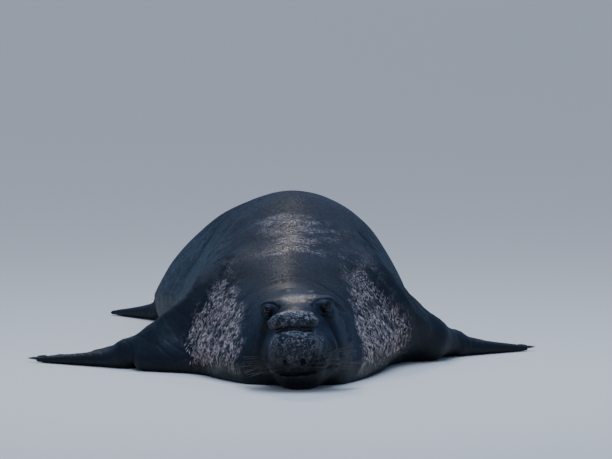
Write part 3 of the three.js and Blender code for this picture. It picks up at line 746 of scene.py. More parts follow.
def surface_net(lines, value):
    """Points and quads of the zero surface: one point in each crossed cell, one quad on each crossed edge."""
    inside = value < 0
    mixed = np.zeros([n - 1 for n in value.shape], np.uint8)
    corners = list(np.ndindex(2, 2, 2))
    span = [slice(0, -1), slice(1, None)]
    for c in corners:
        mixed += inside[tuple(span[n] for n in c)]
    cells = np.argwhere((mixed > 0) & (mixed < 8))
    total = np.zeros((len(cells), 3))
    count = np.zeros(len(cells))
    for c in corners:
        for axis in range(3):
            if c[axis]:
                continue
            a = cells + c
            b = a + np.eye(3, dtype=int)[axis]
            va, vb = value[tuple(a.T)], value[tuple(b.T)]
            cross = (va < 0) != (vb < 0)
            t = np.where(cross, va / np.where(cross, va - vb, 1), 0)[:, None]
            pa = np.stack([lines[n][a[:, n]] for n in range(3)], 1)
            pb = np.stack([lines[n][b[:, n]] for n in range(3)], 1)
            total += np.where(cross[:, None], pa + t * (pb - pa), 0)
            count += cross
    points = total / count[:, None]
    number = np.full(mixed.shape, -1)
    number[tuple(cells.T)] = np.arange(len(cells))
    quads = []
    for axis in range(3):
        ahead = np.take(inside, range(1, value.shape[axis]), axis)
        here = np.take(inside, range(value.shape[axis] - 1), axis)
        edges = np.argwhere(ahead != here)
        u, v = np.eye(3, dtype=int)[(axis + 1) % 3], np.eye(3, dtype=int)[(axis + 2) % 3]
        ring = [number[tuple((edges - off).T)] for off in (u + v, v, 0 * u, u)]
        quad = np.stack(ring, 1)
        flip = ~here[tuple(edges.T)]
        quad[flip] = quad[flip][:, ::-1]
        quads.append(quad)
    return points, np.concatenate(quads)


def relax(points, quads, depth, rounds):
    """Evens out the net along the surface."""
    a, b = quads.ravel(), np.roll(quads, -1, 1).ravel()
    for _ in range(rounds):
        total, count = np.zeros_like(points), np.zeros(len(points))
        np.add.at(total, a, points[b])
        np.add.at(total, b, points[a])
        np.add.at(count, a, 1)
        np.add.at(count, b, 1)
        points = settle(points * 0.4 + total / count[:, None] * 0.6, depth, 1)
    return points


def edge_keys(ends):
    """One whole number for each edge, from the lower and the higher number of its two points."""
    return ends[..., 0] * 10_000_000 + ends[..., 1]


def refine(points, quads, chosen, depth, middles):
    """Cuts the chosen quads in four. Returns the points, the new quads and the quads left whole."""
    picked = quads[chosen]
    ends = np.sort(np.stack([picked, np.roll(picked, -1, 1)], -1), -1).reshape(-1, 2)
    keys, first, where = np.unique(edge_keys(ends), return_index=True, return_inverse=True)
    edges = ends[first]
    middle = (len(points) + where).reshape(-1, 4)
    centre = len(points) + len(keys) + np.arange(len(picked))
    middles.update(zip(map(tuple, edges.tolist()), range(len(points), len(points) + len(keys))))
    fresh = np.concatenate([points[edges].mean(1), points[picked].mean(1)])
    points = np.concatenate([points, settle(fresh, depth, 2)])
    small = [np.stack([picked[:, n], middle[:, n], centre, middle[:, n - 1]], 1) for n in range(4)]
    return points, np.concatenate(small), quads[~chosen]


def with_middles(a, b, middles):
    """The points along an edge that smaller neighbours have cut, without its far end."""
    middle = middles.get((a, b) if a < b else (b, a))
    if middle is None:
        return [a]
    return with_middles(a, middle, middles) + with_middles(middle, b, middles)


def finish_faces(quads, middles):
    """Every quad as a list of points, with the ones that a smaller neighbour adds."""
    ends = np.sort(np.stack([quads, np.roll(quads, -1, 1)], -1), -1)
    cut = np.isin(edge_keys(ends), edge_keys(np.array(list(middles)))).any(1)
    faces = quads[~cut].tolist()
    for quad in quads[cut].tolist():
        faces.append([n for a, b in zip(quad, quad[1:] + quad[:1]) for n in with_middles(a, b, middles)])
    return faces


def close_underside(points, faces):
    """Triangles that fill the flat contact with the ground, inside the loops that the faces leave open."""
    open_edges = {}
    for face in faces:
        for a, b in zip(face, face[1:] + face[:1]):
            if (b, a) in open_edges:
                del open_edges[(b, a)]
            else:
                open_edges[(a, b)] = True
    edges = np.array(list(open_edges))
    used, local = np.unique(edges, return_inverse=True)
    local = local.reshape(-1, 2)
    flat = [Vector(points[n][:2]) for n in used]
    made = delaunay_2d_cdt(flat, local.tolist(), [], 0, 1e-7)
    if len(made[0]) != len(used):
        raise RuntimeError("the contact with the ground crosses itself")
    triangles = np.array(made[2])
    plan = points[used][:, :2]
    middle = plan[triangles].mean(1)
    a, b = plan[local[:, 0]], plan[local[:, 1]]
    inside = np.zeros(len(middle), bool)
    for n, (x, y) in enumerate(middle):
        spans = (a[:, 1] > y) != (b[:, 1] > y)
        cross = a[spans, 0] + (y - a[spans, 1]) / (b[spans, 1] - a[spans, 1]) * (b[spans, 0] - a[spans, 0])
        inside[n] = (cross > x).sum() % 2 == 1
    triangles = triangles[inside]
    e1, e2 = plan[triangles[:, 1]] - plan[triangles[:, 0]], plan[triangles[:, 2]] - plan[triangles[:, 0]]
    upward = e1[:, 0] * e2[:, 1] - e1[:, 1] * e2[:, 0] > 0
    triangles[upward] = triangles[upward][:, ::-1]
    return used[triangles].tolist()


def point_normals(points, quads):
    """The outward direction at each point."""
    face = np.cross(points[quads[:, 2]] - points[quads[:, 0]], points[quads[:, 3]] - points[quads[:, 1]])
    total = np.zeros_like(points)
    for n in range(4):
        np.add.at(total, quads[:, n], face)
    return unit(total)


def detail_wanted(points, quads, level):
    """Which quads to cut finer: first the head and flippers, then the face, then lids and nostrils."""
    middle = points[quads].mean(1)
    h = to_head(middle)
    eye = np.min([np.linalg.norm(middle - c - g * 22, axis=1) for c, g in EYES], axis=0)
    ear = np.min([np.linalg.norm(middle - e, axis=1) for e in EARS], axis=0)
    nostril = np.linalg.norm(mirrored(h) - NOSTRIL_AT, axis=1)
    mouth = np.where(h[:, 1] < MOUTH_CORNER + 15, np.abs(from_mouth(h)), 1e9)
    above = middle[:, 2] > 4
    if level == 0:
        blade = (np.abs(middle[:, 0]) > 700) & (middle[:, 2] < 70) & (limb_share(middle) > 0.5)
        return above & ((middle[:, 1] < 860) | blade | (middle[:, 1] > 3440))
    if level == 1:
        return above & ((h[:, 1] < 130) | (eye < 100) | (ear < 30) | (mouth < 26))
    return above & ((eye < 52) | (nostril < 36) | (ear < 18) | (mouth < 9))


def skin_net(depth):
    """The skin's points, quads, finished faces and how many of the faces aren't the flat underside."""
    value = grid_values(SKIN_GRID, depth)
    unpinch(value)
    points, quads = surface_net(SKIN_GRID, value)
    points = relax(settle(points, depth, 2), quads, depth, 3)
    middles, whole = {}, []
    for level in range(3):
        chosen = detail_wanted(points, quads, level)
        points, quads, left = refine(points, quads, chosen, depth, middles)
        whole.append(left)
    quads = np.concatenate(whole + [quads])
    normal = unit(slope_of(flesh_field, points))
    zone = zones(points, normal)
    out, crease = relief(points, zone)
    lifted = ramp(points[:, 2], 0, 26)
    shaped = points + normal * (out * lifted)[:, None]
    shaped, rim = shape_lids(shaped)
    shaped[:, 2] = np.maximum(shaped[:, 2], 0)
    zone["crease"] = crease * lifted
    zone["rim"] = rim
    grounded = (shaped[quads][:, :, 2] <= 0).all(1)
    faces = finish_faces(quads[~grounded], middles)
    return shaped, quads[~grounded], faces, close_underside(shaped, faces), zone


# Nodes and materials

def feed(tree, node, inputs):
    """Sets or links a node's inputs."""
    for key, value in inputs.items():
        if isinstance(value, bpy.types.NodeSocket):
            tree.links.new(value, node.inputs[key])
        else:
            node.inputs[key].default_value = value


def add(tree, kind, settings=None, inputs=None):
    """Adds one node with its settings and inputs."""
    made = tree.nodes.new(kind)
    for name, value in (settings or {}).items():
        setattr(made, name, value)
    feed(tree, made, inputs or {})
    return made


def linear(code):
    """An sRGB hex colour as linear red, green and blue."""
    parts = [int(code[i:i + 2], 16) / 255 for i in (1, 3, 5)]
    return [c / 12.92 if c <= 0.04045 else ((c + 0.055) / 1.055) ** 2.4 for c in parts]


def new_material(name):
    """An empty material with its shader joined to its output."""
    material = bpy.data.materials.new(name)
    material.use_nodes = True
    tree = material.node_tree
    tree.nodes.clear()
    shader = add(tree, "ShaderNodeBsdfPrincipled")
    add(tree, "ShaderNodeOutputMaterial", inputs={"Surface": shader.outputs[0]})
    return material, tree, shader


def mixed(tree, share, a, b, blend="MIX"):
    """One colour laid over another by a share."""
    settings = {"data_type": "RGBA", "blend_type": blend, "clamp_factor": True}
    return add(tree, "ShaderNodeMix", settings, {0: share, 6: a, 7: b}).outputs[2]


def lerped(tree, value, low, high, to_low=0.0, to_high=1.0):
    """A value's range stretched on to another, and held within it."""
    inputs = {"Value": value, "From Min": low, "From Max": high, "To Min": to_low, "To Max": to_high}
    return add(tree, "ShaderNodeMapRange", {"interpolation_type": "SMOOTHSTEP"}, inputs).outputs[0]


def product(tree, a, b, operation="MULTIPLY"):
    """Two numbers multiplied, or joined by another operation."""
    return add(tree, "ShaderNodeMath", {"operation": operation}, {0: a, 1: b}).outputs[0]


def spots(tree, place, stretch, scale, detail=4.0, roughness=0.55):
    """Noise on the seal's own coordinates, stretched along an axis. The scale is bumps to the metre."""
    where = add(tree, "ShaderNodeMapping", None, {"Vector": place, "Scale": stretch}).outputs[0]
    inputs = {"Vector": where, "Scale": scale, "Detail": detail, "Roughness": roughness}
    return add(tree, "ShaderNodeTexNoise", None, inputs).outputs["Fac"]


def bumped(tree, height, strength, distance, normal=None):
    """A bump of up to a distance in metres, laid over another where there is one."""
    inputs = {"Height": height, "Strength": strength, "Distance": distance}
    if normal is not None:
        inputs["Normal"] = normal
    return add(tree, "ShaderNodeBump", None, inputs).outputs[0]


def marking(tree, name):
    """A marking's strength, kept on each point of the piece."""
    return add(tree, "ShaderNodeAttribute", {"attribute_name": name}).outputs["Fac"]


def rgba(colour):
    """A colour property as a socket takes it."""
    return (*colour, 1.0)


def marked_colour(tree, colours):
    """The colour that skin and coat share: mottled slate hide, scars, pale flank, painted highlights and
    painted shade.
    """
    place = add(tree, "ShaderNodeTexCoord").outputs["Object"]
    broad = spots(tree, place, (1, 1, 1), 3.2, 3)
    patches = spots(tree, place, (1, 0.5, 1), 26, 5, 0.62)
    hide = mixed(tree, lerped(tree, broad, 0.34, 0.66), rgba(colours.hide_dark), rgba(colours.hide))
    hide = mixed(tree, lerped(tree, patches, 0.48, 0.72, 0, 0.5), hide, rgba(colours.hide_light))
    # The pale flank fades in through blotches about 40 mm across.
    pale = product(tree, marking(tree, "pale"), lerped(tree, patches, 0.36, 0.6, 0.35, 1))
    hide = mixed(tree, pale, hide, rgba(colours.pale_flank))
    # Healed bites: strokes about 7 mm wide and 20 mm long that run round the neck, over roughened grey hide.
    # The same strokes fill the crown and brow patches, where they are partly a painted highlight.
    shield = marking(tree, "shield")
    rough = spots(tree, place, (1, 1, 0.8), 48, 6, 0.7)
    scarred = product(tree, shield, lerped(tree, rough, 0.42, 0.6, 0.1, 0.75))
    hide = mixed(tree, scarred, hide, rgba(colours.scar_grey))
    strokes = spots(tree, place, (1, 0.9, 0.4), 130, 2, 0.5)
    broken = spots(tree, place, (1, 1, 1), 14, 3)
    line = product(tree, lerped(tree, strokes, 0.51, 0.55), lerped(tree, broken, 0.41, 0.58))
    hide = mixed(tree, product(tree, line, shield), hide, rgba(colours.scar))
    # The nose is worn pinkish grey in specks about 6 mm across, painted paler on its upward faces as a
    # highlight.
    specks = spots(tree, place, (1, 1, 1), 170, 2, 0.6)
    worn = product(tree, lerped(tree, rough, 0.42, 0.6), lerped(tree, specks, 0.48, 0.57))
    nose = product(tree, marking(tree, "nose"), worn)
    hide = mixed(tree, nose, hide, rgba(colours.nose))
    flipper = product(tree, marking(tree, "limb"), 0.75)
    hide = mixed(tree, flipper, hide, rgba(colours.flipper))
    # Painted shade: the underside, and the floors of creases, the mouth, nostrils and ear holes, are
    # darkened.
    hide = mixed(tree, product(tree, marking(tree, "underside_shade"), 0.8), hide, rgba(colours.painted_shade))
    hide = mixed(tree, product(tree, marking(tree, "crease"), 0.75), hide, rgba(colours.painted_shade))
    return place, hide, rough


def wet_hide(colours):
    """Wet seal hide: short flat fur over thick skin, a film of sea water giving a soft broad sheen."""
    material, tree, shader = new_material("wet_seal_hide")
    place, colour, rough = marked_colour(tree, colours)
    rim = marking(tree, "rim")
    colour = mixed(tree, rim, colour, rgba(colours.lid))
    # Hairs 2 mm wide and 16 mm long, drawn coarser than real ones so that they show.
    hairs = spots(tree, place, (1, 0.14, 1), 420, 2, 0.5)
    pores = spots(tree, place, (1, 1, 1), 160, 4, 0.7)
    folds = spots(tree, place, (0.7, 1.6, 0.5), 38, 4, 0.6)
    normal = bumped(tree, hairs, 0.35, 0.0012)
    normal = bumped(tree, pores, 0.4, 0.002, normal)
    normal = bumped(tree, folds, 0.5, 0.006, normal)
    # Smooth wet fur scatters the light widely, and the bald scarred places shine.
    wet = lerped(tree, rough, 0.35, 0.7, 0.5, 0.64)
    bald = product(tree, marking(tree, "shield"), marking(tree, "nose"), "MAXIMUM")
    wet = product(tree, wet, lerped(tree, bald, 0.1, 0.6, 1, 0.6))
    feed(tree, shader, {"Base Color": colour, "Roughness": wet, "Normal": normal, "IOR": 1.4,
                        "Specular IOR Level": 0.27, "Coat Weight": 0.1, "Coat Roughness": 0.3})
    return material


def wet_coat(colours):
    """Wet guard hairs stuck in flat tufts: darker than dry fur, with a soft broad sheen."""
    material, tree, shader = new_material("wet_guard_hair")
    place, colour, rough = marked_colour(tree, colours)
    strand = spots(tree, place, (1, 1, 1), 300, 1)
    tint = mixed(tree, lerped(tree, strand, 0.3, 0.7, 0, 0.22), colour, rgba(colours.hide_light))
    wet = lerped(tree, rough, 0.35, 0.7, 0.46, 0.64)
    feed(tree, shader, {"Base Color": tint, "Roughness": wet, "IOR": 1.45, "Specular IOR Level": 0.28})
    return material


def healed_scar(colours):
    """Healed scar tissue: hairless, calloused, pinkish grey, duller than the wet fur round it."""
    material, tree, shader = new_material("healed_scar_skin")
    place = add(tree, "ShaderNodeTexCoord").outputs["Object"]
    fade = spots(tree, place, (1, 1, 1), 30, 4, 0.7)
    colour = mixed(tree, lerped(tree, fade, 0.35, 0.65), rgba(colours.scar_grey), rgba(colours.scar))
    pits = spots(tree, place, (1, 1, 1), 500, 2)
    feed(tree, shader, {"Base Color": colour, "Normal": bumped(tree, pits, 0.4, 0.001), "Roughness": 0.45})
    return material


def eye_gloss(colours):
    """A wet eyeball: almost black with a brown iris, and a clear smooth cornea that mirrors the light."""
    material, tree, shader = new_material("wet_eyeball")
    place = add(tree, "ShaderNodeTexCoord").outputs["Object"]
    out = marking(tree, "from_pupil")
    threads = spots(tree, place, (1, 1, 1), 900, 3)
    iris = mixed(tree, lerped(tree, threads, 0.4, 0.6), rgba(colours.iris), rgba(colours.pupil))
    eye = mixed(tree, lerped(tree, out, 0.3, 0.34), rgba(colours.pupil), iris)
    eye = mixed(tree, lerped(tree, out, 0.6, 0.72), eye, rgba(colours.eye_white))
    smooth = lerped(tree, threads, 0.3, 0.7, 0.05, 0.1)
    feed(tree, shader, {"Base Color": eye, "Roughness": smooth, "IOR": 1.38})
    return material


def worn_horn(name, root, tip, roughness, grain):
    """Horn: claws and whiskers of keratin, streaked along their length and worn paler at the tip."""
    material, tree, shader = new_material(name)
    place = add(tree, "ShaderNodeTexCoord").outputs["Object"]
    streaks = spots(tree, place, (1, 1, 1), grain, 4, 0.6)
    end = marking(tree, "to_tip")
    colour = mixed(tree, end, rgba(root), rgba(tip))
    colour = mixed(tree, lerped(tree, streaks, 0.4, 0.7, 0, 0.5), colour, rgba(root))
    worn = lerped(tree, streaks, 0.3, 0.7, roughness, roughness + 0.15)
    normal = bumped(tree, streaks, 0.3, 0.0008)
    feed(tree, shader, {"Base Color": colour, "Normal": normal, "Roughness": worn, "IOR": 1.54})
    return material


# Geometry Nodes that repeat a small shape over points of the skin

def cone_shape(tree, sizes):
    """A three-sided tuft of hair, one long edge up."""
    inputs = {"Vertices": 3, "Radius Top": 0.0, "Radius Bottom": 1.0, "Depth": 1.0}
    return add(tree, "GeometryNodeMeshCone", {"fill_type": "NGON"}, inputs).outputs["Mesh"]


def flake_shape(tree, sizes):
    """A low rounded welt."""
    ball = add(tree, "GeometryNodeMeshIcoSphere", None, {"Radius": 0.5, "Subdivisions": 1}).outputs["Mesh"]
    return add(tree, "GeometryNodeTransform", None, {"Geometry": ball, "Translation": (0, 0, 0.5)}).outputs[0]


def bent_shape(rings, sides, tip):
    """A maker of a bent, tapering round shape, such as a whisker or a claw."""

    def shape(tree, sizes):
        line = add(tree, "GeometryNodeCurvePrimitiveLine", None, {"Start": (0, 0, 0), "End": (0, 0, 1)})
        curve = add(tree, "GeometryNodeResampleCurve", None, {"Curve": line.outputs[0], "Count": rings})
        along = add(tree, "GeometryNodeSplineParameter").outputs["Factor"]
        squared = product(tree, along, along)
        per_width = product(tree, sizes["Length"], sizes["Thickness"], "DIVIDE")
        drop = product(tree, product(tree, squared, sizes["Bend"]), per_width)
        aside = add(tree, "ShaderNodeCombineXYZ", None, {"X": product(tree, drop, -1.0)})
        inputs = {"Geometry": curve.outputs[0], "Offset": aside.outputs[0]}
        bent = add(tree, "GeometryNodeSetPosition", None, inputs)
        inputs = {"Value": along, "To Min": 1.0, "To Max": tip}
        thin = add(tree, "ShaderNodeMapRange", None, inputs).outputs[0]
        inputs = {"Curve": bent.outputs[0], "Radius": thin}
        radius = add(tree, "GeometryNodeSetCurveRadius", None, inputs)
        inputs = {"Geometry": radius.outputs[0], "Name": "to_tip", "Value": along}
        settings = {"data_type": "FLOAT", "domain": "POINT"}
        named = add(tree, "GeometryNodeStoreNamedAttribute", settings, inputs)
        ring = add(tree, "GeometryNodeCurvePrimitiveCircle", None, {"Resolution": sides, "Radius": 1.0})
        inputs = {"Curve": named.outputs[0], "Profile Curve": ring.outputs[0], "Fill Caps": True}
        return add(tree, "GeometryNodeCurveToMesh", None, inputs).outputs[0]

    return shape


def scatter_tree(name, shape):
    """A tree that stands a shape on every point, its length along the point's lie and its top towards up."""
    tree = bpy.data.node_groups.new(name, "GeometryNodeTree")
    tree.interface.new_socket("Points", in_out="INPUT", socket_type="NodeSocketGeometry")
    for label in ("Length", "Width", "Thickness", "Bend", "Turn", "Variation"):
        tree.interface.new_socket(label, in_out="INPUT", socket_type="NodeSocketFloat")
    tree.interface.new_socket("Seed", in_out="INPUT", socket_type="NodeSocketInt")
    tree.interface.new_socket("Material", in_out="INPUT", socket_type="NodeSocketMaterial")
    tree.interface.new_socket("Geometry", in_out="OUTPUT", socket_type="NodeSocketGeometry")
    given = add(tree, "NodeGroupInput").outputs
    read = {key: add(tree, "GeometryNodeInputNamedAttribute", {"data_type": kind}, {"Name": key}).outputs[0]
            for key, kind in (("lie", "FLOAT_VECTOR"), ("up", "FLOAT_VECTOR"), ("size", "FLOAT"))}
    low = product(tree, given["Turn"], -1.0)
    inputs = {2: low, 3: given["Turn"], "Seed": given["Seed"]}
    turn = add(tree, "FunctionNodeRandomValue", {"data_type": "FLOAT"}, inputs).outputs[1]
    inputs = {"Vector": read["lie"], "Axis": read["up"], "Angle": turn}
    lie = add(tree, "ShaderNodeVectorRotate", {"rotation_type": "AXIS_ANGLE"}, inputs).outputs[0]
    inputs = {0: lie, 1: read["up"]}
    facing = add(tree, "FunctionNodeAxesToRotation", {"primary_axis": "Z", "secondary_axis": "X"}, inputs)
    least = product(tree, 1.0, given["Variation"], "SUBTRACT")
    most = product(tree, 1.0, given["Variation"], "ADD")
    inputs = {2: least, 3: most, "Seed": product(tree, given["Seed"], 1, "ADD")}
    vary = add(tree, "FunctionNodeRandomValue", {"data_type": "FLOAT"}, inputs).outputs[1]
    grown = product(tree, read["size"], vary)
    inputs = {axis: product(tree, read["size"], given[label]) for axis, label in
              (("X", "Thickness"), ("Y", "Width"))}
    inputs["Z"] = product(tree, grown, given["Length"])
    scale = add(tree, "ShaderNodeCombineXYZ", None, inputs).outputs[0]
    inputs = {"Points": given["Points"], "Instance": shape(tree, given), "Rotation": facing.outputs[0],
              "Scale": scale}
    placed = add(tree, "GeometryNodeInstanceOnPoints", None, inputs)
    real = add(tree, "GeometryNodeRealizeInstances", None, {"Geometry": placed.outputs[0]})
    smooth = add(tree, "GeometryNodeSetShadeSmooth", None, {"Geometry": real.outputs[0]})
    inputs = {"Geometry": smooth.outputs[0], "Material": given["Material"]}
    finished = add(tree, "GeometryNodeSetMaterial", None, inputs)
    add(tree, "NodeGroupOutput", None, {0: finished.outputs[0]})
    return tree


def new_object(name, mesh):
    """An object that shows a mesh, at the origin."""
    made = bpy.data.objects.new(name, mesh)
    bpy.context.scene.collection.objects.link(made)
    return made


def put_attributes(mesh, values):
    """Keeps numbers and directions on a mesh's points."""
    for name, value in values.items():
        kind, field = ("FLOAT_VECTOR", "vector") if value.ndim == 2 else ("FLOAT", "value")
        layer = mesh.attributes.new(name, kind, "POINT")
        layer.data.foreach_set(field, np.ascontiguousarray(value, np.float32).ravel())


ON_GROUND = 0.0006  # the least height of a hair, a claw or a scar, in metres


def scatter(name, tree, points, values, settings):
    """A piece made by a tree of Geometry Nodes over points in the seal's frame."""
    seeds = bpy.data.meshes.new(name + "_points")
    seeds.from_pydata(to_model(points).tolist(), [], [])
    put_attributes(seeds, values)
    carrier = new_object(name + "_points", seeds)
    modifier = carrier.modifiers.new("grow", "NODES")
    modifier.node_group = tree
    for item in tree.interface.items_tree:
        if item.item_type == "SOCKET" and item.in_out == "INPUT" and item.name in settings:
            modifier[item.identifier] = settings[item.name]
    graph = bpy.context.evaluated_depsgraph_get()
    mesh = bpy.data.meshes.new_from_object(carrier.evaluated_get(graph))
    mesh.name = name
    carrier.modifiers.clear()
    bpy.data.objects.remove(carrier)
    if not mesh.polygons:
        raise RuntimeError(f"{name} came out empty")
    # What would reach below the ground lies flat on it.
    place = np.empty(len(mesh.vertices) * 3, np.float32)
    mesh.vertices.foreach_get("co", place)
    place[2::3] = np.maximum(place[2::3], ON_GROUND)
    mesh.vertices.foreach_set("co", place)
    return new_object(name, mesh)


# Sizes, colours and the operators that make the pieces

class SealSizes(bpy.types.PropertyGroup):
    """Sizes of the seal's coat, whiskers and claws."""

    coat_depth: FloatProperty(name="Coat depth", description="How far the skin lies inside the outline",
                              default=0.003, min=0.001, max=0.01, unit="LENGTH")
    tuft_length: FloatProperty(name="Tuft length", description="Length of a tuft on the back",
                               default=0.019, min=0.004, max=0.04, unit="LENGTH")
    tuft_width: FloatProperty(name="Tuft width", description="Width of a tuft at its root",
                              default=0.0036, min=0.001, max=0.01, unit="LENGTH")
    tufts: IntProperty(name="Tufts in a piece", description="How many tufts the densest piece of coat has",
                       default=42000, min=1000, max=48000)
    whisker_length: FloatProperty(name="Whisker length", description="Length of the longest whisker",
                                  default=0.12, min=0.03, max=0.2, unit="LENGTH")
    claw_length: FloatProperty(name="Claw length", description="Length of a front claw with its root",
                               default=0.03828, min=0.02, max=0.1, unit="LENGTH")
    scars: IntProperty(name="Scars", description="How many raised scars lie on the neck",
                       default=2600, min=100, max=6000)
    floor_size: FloatProperty(name="Floor size", description="Width of the floor",
                              default=400.0, min=20.0, max=1000.0, unit="LENGTH")


def colour_property(name, description, code):
    """A colour a user may change, from its sRGB hex value."""
    return FloatVectorProperty(name=name, description=description, subtype="COLOR", size=3, min=0, max=1,
                               default=linear(code))


class SealColours(bpy.types.PropertyGroup):
    """Colours of the seal's hide, scars, eyes and claws."""

    hide: colour_property("Hide", "Wet slate hide", "#171f29")
    hide_dark: colour_property("Dark hide", "Wettest patches of the hide", "#0d1219")
    hide_light: colour_property("Light hide", "Drier patches of the hide", "#242f3b")
    pale_flank: colour_property("Pale flank", "Greenish grey flank behind the ribs", "#3a474c")
    scar_grey: colour_property("Scarred hide", "Roughened hide of the neck shield", "#1b1d21")
    scar: colour_property("Scar", "Healed pinkish scars", "#cdb3a6")
    # Worn nose colour, also a painted highlight on the nose's upward faces.
    nose: colour_property("Nose", "Worn skin of the nose", "#a4968f")
    flipper: colour_property("Flipper", "Dark skin of the flippers", "#121519")
    # Painted shade laid on the underside and in the floors of creases.
    painted_shade: colour_property("Belly", "Underside and the floors of creases", "#08090b")
    lid: colour_property("Lid", "Wet rim of the lids", "#0e0d0d")
    pupil: colour_property("Pupil", "Pupil of the eye", "#030303")
    iris: colour_property("Iris", "Iris of the eye", "#120b07")
    eye_white: colour_property("Eye rim", "Outer rim of the eyeball", "#0b0807")
    claw: colour_property("Claw", "Root of a claw", "#16130f")
    claw_tip: colour_property("Claw tip", "Worn tip of a claw", "#4b4238")
    whisker: colour_property("Whisker", "Root of a whisker", "#2b2622")
    whisker_tip: colour_property("Whisker tip", "Tip of a whisker", "#6a6052")
    floor: colour_property("Floor", "Plain pale floor", "#f5e3cc")


FLESH_NODES = [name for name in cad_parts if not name.startswith("eye")]
SKIN = {}  # the skin's points, quads, markings and normals, which the other pieces are set on


class SEAL_OT_skin(bpy.types.Operator):
    """Makes the skin, one closed surface in place of every solid of flesh."""

    bl_idname = "seal.skin"
    bl_label = "Skin"

    def execute(self, context):
        depth = context.scene.seal_sizes.coat_depth * 1000
        points, quads, faces, underside, zone = skin_net(depth)
        used = np.unique(np.concatenate([np.concatenate(faces), np.ravel(underside)]))
        number = np.full(len(points), -1)
        number[used] = np.arange(len(used))
        number_list = number.tolist()
        rings = [[number_list[n] for n in face] for face in faces + underside]
        mesh = bpy.data.meshes.new("skin")
        mesh.from_pydata(to_model(points[used]).tolist(), [], rings)
        flat = np.zeros(len(rings), bool)
        flat[len(faces):] = True
        mesh.polygons.foreach_set("use_smooth", ~flat)
        put_attributes(mesh, {key: value[used] for key, value in zone.items()})
        mesh.materials.append(wet_hide(context.scene.seal_colours))
        skin = new_object("skin", mesh)
        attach(skin, "root")
        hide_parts(*FLESH_NODES)
        SKIN.update(points=points, quads=quads, zone=zone, normal=point_normals(points, quads))
        return {"FINISHED"}


class SEAL_OT_eyes(bpy.types.Operator):
    """Makes the two eyeballs, each with a bulging cornea."""

    bl_idname = "seal.eyes"
    bl_label = "Eyes"

    def execute(self, context):
        material = eye_gloss(context.scene.seal_colours)
        rings, sides = 40, 48
        ball = EYE_RADIUS - EYE_LOOSE
        for name, (centre, gaze) in zip(("eye_right", "eye_left"), EYES):
            across = unit(np.cross(gaze, (0, 0, 1)))
            up = np.cross(across, gaze)
            angle = np.linspace(0, np.pi, rings + 1)[1:-1, None]
            round_it = np.linspace(0, 2 * np.pi, sides, endpoint=False)[None, :]
            radius = ball + CORNEA_BULGE * np.exp(-((angle / 0.42) ** 2)) + 0 * round_it
            ahead = np.cos(angle) + 0 * round_it
            axes = (ahead, np.sin(angle) * np.cos(round_it), np.sin(angle) * np.sin(round_it))
            body = sum(radius[..., None] * part[..., None] * axis
                       for part, axis in zip(axes, (gaze, across, up)))
            front, rear = gaze * (ball + CORNEA_BULGE), -gaze * ball
            points = np.concatenate([body.reshape(-1, 3), [front, rear]]) + centre
            last = (rings - 2) * sides
            faces = []
            for n in range(sides):
                m = (n + 1) % sides
                faces.append([len(points) - 2, n, m])
                faces.append([len(points) - 1, last + m, last + n])
                faces += [[r * sides + n, (r + 1) * sides + n, (r + 1) * sides + m, r * sides + m]
                          for r in range(rings - 2)]
            mesh = bpy.data.meshes.new("eyeball_" + name[4:])
            mesh.from_pydata(to_model(points).tolist(), [], faces)
            mesh.polygons.foreach_set("use_smooth", [True] * len(faces))
            turned = np.arccos(np.clip(unit(points - centre) @ gaze, -1, 1))
            put_attributes(mesh, {"from_pupil": turned})
            mesh.materials.append(material)
            eyeball = new_object("eyeball_" + name[4:], mesh)
            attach(eyeball, "root")
            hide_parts(name)
        return {"FINISHED"}


def spread_over_skin(chance, count, seed):
    """Evenly scattered places on the skin where a chance by point allows them, with their skin values."""
    points, quads, zone, normal = (SKIN[key] for key in ("points", "quads", "zone", "normal"))
    triangles = np.concatenate([quads[:, [0, 1, 2]], quads[:, [0, 2, 3]]])
    corner = points[triangles]
    size = np.linalg.norm(np.cross(corner[:, 1] - corner[:, 0], corner[:, 2] - corner[:, 0]), axis=1) / 2
    weight = np.cumsum(size * chance[triangles].mean(1))
    rng = np.random.default_rng(seed)
    spot = (np.arange(count) + rng.random(count)) / count * weight[-1]
    which = np.minimum(np.searchsorted(weight, spot), len(triangles) - 1)
    share = np.sort(rng.random((count, 2)), 1)
    share = np.stack([share[:, 0], share[:, 1] - share[:, 0], 1 - share[:, 1]], 1)

    def read(values):
        corners = values[triangles[which]]
        return (corners * (share[:, :, None] if corners.ndim == 3 else share)).sum(1)

    found = {key: read(value) for key, value in zone.items()}
    return read(points), unit(read(normal)), found


CLAW_BACK = 8  # how far behind the end of its digit a claw starts
CLAW_UP = 9


class SEAL_OT_claws(bpy.types.Operator):
    """Makes the claws at the ends of the front flippers' digits."""

    bl_idname = "seal.claws"
    bl_label = "Claws"

    def execute(self, context):
        sizes, colours = context.scene.seal_sizes, context.scene.seal_colours
        material = worn_horn("worn_claw_horn", colours.claw, colours.claw_tip, 0.32, 260)
        tree = scatter_tree("claw_on_digit", bent_shape(9, 10, 0.12))
        roots, lie = [], []
        for name in ("foreflipper_right", "foreflipper_left"):
            for root, tip in digit_lines(name):
                along = unit((tip - root) * (1, 1, 0))
                roots.append(tip - along * CLAW_BACK + np.array([0.0, 0.0, CLAW_UP]))
                lie.append(unit(along + np.array([0, 0, 0.02])))
        up = np.tile([0.0, 0.0, 1.0], (len(roots), 1))
        values = {"lie": np.array(lie), "up": up, "size": np.linspace(1, 0.86, 5)[np.arange(10) % 5]}
        settings = {"Length": sizes.claw_length, "Width": 0.0078, "Thickness": 0.0066, "Bend": 0.2,
                    "Turn": 0.04, "Variation": 0.06, "Seed": 3, "Material": material}
        claws = scatter("claws", tree, np.array(roots), values, settings)
        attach(claws, "root")
        return {"FINISHED"}


PAD_ROWS = 4
PAD_WHISKERS = 6
BROW_WHISKERS = 3


